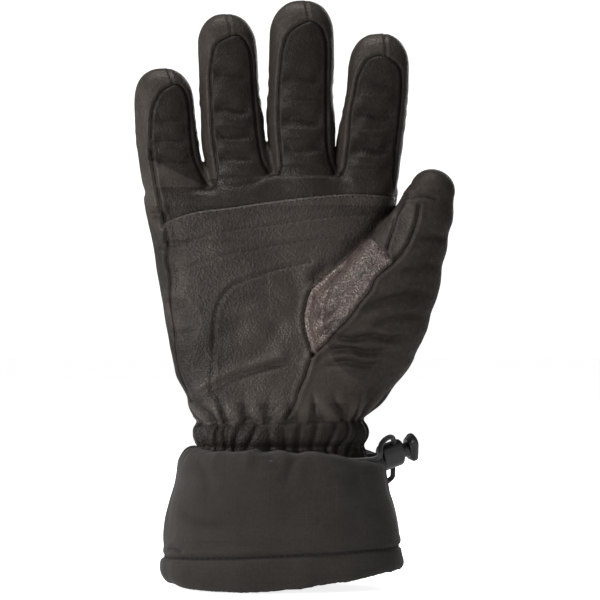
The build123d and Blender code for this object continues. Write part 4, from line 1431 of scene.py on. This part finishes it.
def cord_line(line, radius=0.27, offset=0.0, from_front=True):
    """The closed edge of a seam as a raised cord, coloured near-black as painted shade of the seam
    line, in one run per segment of the glove.
    """
    run, segment = [], None
    for hit in cast_line(line, CORD_STEP, offset, from_front):
        if hit is not None and abs(hit[1][1]) < 0.14:       # the surface turns edge on
            hit = None
        if hit is None or (run and np.linalg.norm(hit[0] + hit[1] * -CORD_SINK - run[-1][0]
                                                  + run[-1][1] * CORD_SINK) > 2.6):
            add_cord(run, radius, segment)
            run, segment = [], None
            if hit is None:
                continue
        if segment is None:
            segment = hit[2]
        run.append(hit[:2])
        if hit[2] != segment:
            add_cord(run, radius, segment)
            run, segment = [run[-1]], hit[2]
    add_cord(run, radius, segment)


stitch_line(PATCH_TOP, pitch=3.0, length=1.9, radius=0.26, offset=-1.1)
for line in (UPPER_STITCH, LOWER_STITCH, BENT_STITCH):
    stitch_line(line, pitch=3.1, length=2.1, radius=0.24)
for offset in (0.7, -0.9):
    stitch_line(CROSS_SEAM, pitch=2.4, length=1.5, radius=0.26, offset=offset)
for line in BACK_LINES:
    stitch_line(line, pitch=3.2, length=2.1, radius=0.28, offset=1.4, from_front=False)
stitch_hem()

cord_line(PATCH_TOP, radius=0.2, offset=0.25)
for name, line in FINGER_SEAM.items():
    cord_line(line[1:] if name in ("little", "ring") else line)
    cord_line(TIP_SEAM[name], radius=0.16)
for line in (SIDE_SEAM, GUSSET_INNER, GUSSET_OUTER, STEM_SEAM, FACING_SEAM):
    cord_line(line)
for line in BACK_LINES:
    cord_line(line, from_front=False)

# the seam cords' near-black look is painted shade of the seam lines
for kind, parts, look in (("stitches", stitches, "thread"), ("seams", cords, "piping")):
    for segment, pieces in parts.items():
        faces, first = [], 0
        for points, own_faces in pieces:
            faces += [tuple(i + first for i in face) for face in own_faces]
            first += len(points)
        add_piece(f"{segment}_{kind}", np.concatenate([points for points, _ in pieces]), faces,
                  look, segment)

# ---------------------------------------------------------------- hard parts shown as built
for node, look in (("lock_barrel", "black_plastic"), ("lock_plunger", "black_plastic"),
                   ("lock_spring", "spring_steel"), ("drawcord", "cord"),
                   ("cord_end", "black_plastic")):
    slots = frame["nodes"][node].data.materials
    slots.clear()
    slots.append(MATERIALS[look])

# ---------------------------------------------------------------- studio, in metres
scene = bpy.context.scene
FLOOR_HALF = 6.0
# place, target, size, watts
LIGHTS = {
    "key": ((-0.85, -0.80, 0.22), (0, 0, 0.11), (0.40, 0.5), 13.5),
    "fill": ((0.9, -0.9, 0.45), (0, 0, 0.14), (0.8, 0.8), 1.1),
    "top": ((-0.15, -0.18, 1.05), (0, 0, 0.2), (0.45, 0.35), 7),
    "rim": ((-0.9, 0.35, 0.3), (0, 0, 0.14), (0.3, 0.9), 2.0),
    "back": ((0.35, 1.1, 0.5), (0, 0, 0.14), (0.7, 0.7), 7),
}


def add_camera():
    data = bpy.data.cameras.new("camera")
    camera = link_object("camera", data)
    camera.location = (CAMERA_X * MM, -CAMERA_DISTANCE * MM, CAMERA_Z * MM)
    camera.rotation_euler = (math.radians(90), 0, 0)
    data.sensor_width = SENSOR_WIDTH
    data.lens = SENSOR_WIDTH * CAMERA_DISTANCE / VIEW_WIDTH
    data.clip_start = 0.05
    data.clip_end = 20
    scene.camera = camera


def add_floor():
    """A white floor just under the hem that glows only to the camera."""
    level = float(verts[:, 2].min()) * 0.001 - 0.0002
    mesh = bpy.data.meshes.new("floor")
    corners = ((-1, -1), (1, -1), (1, 1), (-1, 1))
    mesh.from_pydata([(a * FLOOR_HALF, b * FLOOR_HALF, level) for a, b in corners],
                     [], [(0, 1, 2, 3)])
    floor = link_object("floor", mesh)
    material, tree, shader = new_material("floor_look")
    set_inputs(shader, {"Base Color": (0.93, 0.93, 0.93, 1), "Roughness": 0.9,
                        "Emission Color": (1, 1, 1, 1)})
    light_path = tree.nodes.new("ShaderNodeLightPath")
    glow = calc(tree, "MULTIPLY", light_path.outputs["Is Camera Ray"], 0.84)
    tree.links.new(glow, shader.inputs["Emission Strength"])
    mesh.materials.append(material)


def add_world():
    """White surroundings, dim as light and bright to the camera."""
    world = bpy.data.worlds.new("world")
    scene.world = world
    world.use_nodes = True
    tree = world.node_tree
    dim = tree.nodes["Background"]
    light_path = tree.nodes.new("ShaderNodeLightPath")
    bright = tree.nodes.new("ShaderNodeBackground")
    blend = tree.nodes.new("ShaderNodeMixShader")
    for node, strength in ((dim, 0.16), (bright, 1.15)):
        set_inputs(node, {"Color": (1, 1, 1, 1), "Strength": strength})
    tree.links.new(light_path.outputs["Is Camera Ray"], blend.inputs[0])
    tree.links.new(dim.outputs[0], blend.inputs[1])
    tree.links.new(bright.outputs[0], blend.inputs[2])
    tree.links.new(blend.outputs[0], tree.nodes["World Output"].inputs[0])


def add_light(name, place, target, size, watts):
    light = bpy.data.lights.new(name, "AREA")
    light.shape = "RECTANGLE"
    light.size, light.size_y = size
    light.energy = watts
    obj = link_object(name, light)
    obj.location = place
    aim = Vector(target) - Vector(place)
    obj.rotation_euler = aim.to_track_quat("-Z", "Y").to_euler()
    obj.visible_camera = False


add_camera()
add_floor()
add_world()
for name, settings in LIGHTS.items():
    add_light(name, *settings)
scene.view_settings.view_transform = "Standard"
scene.view_settings.look = "None"
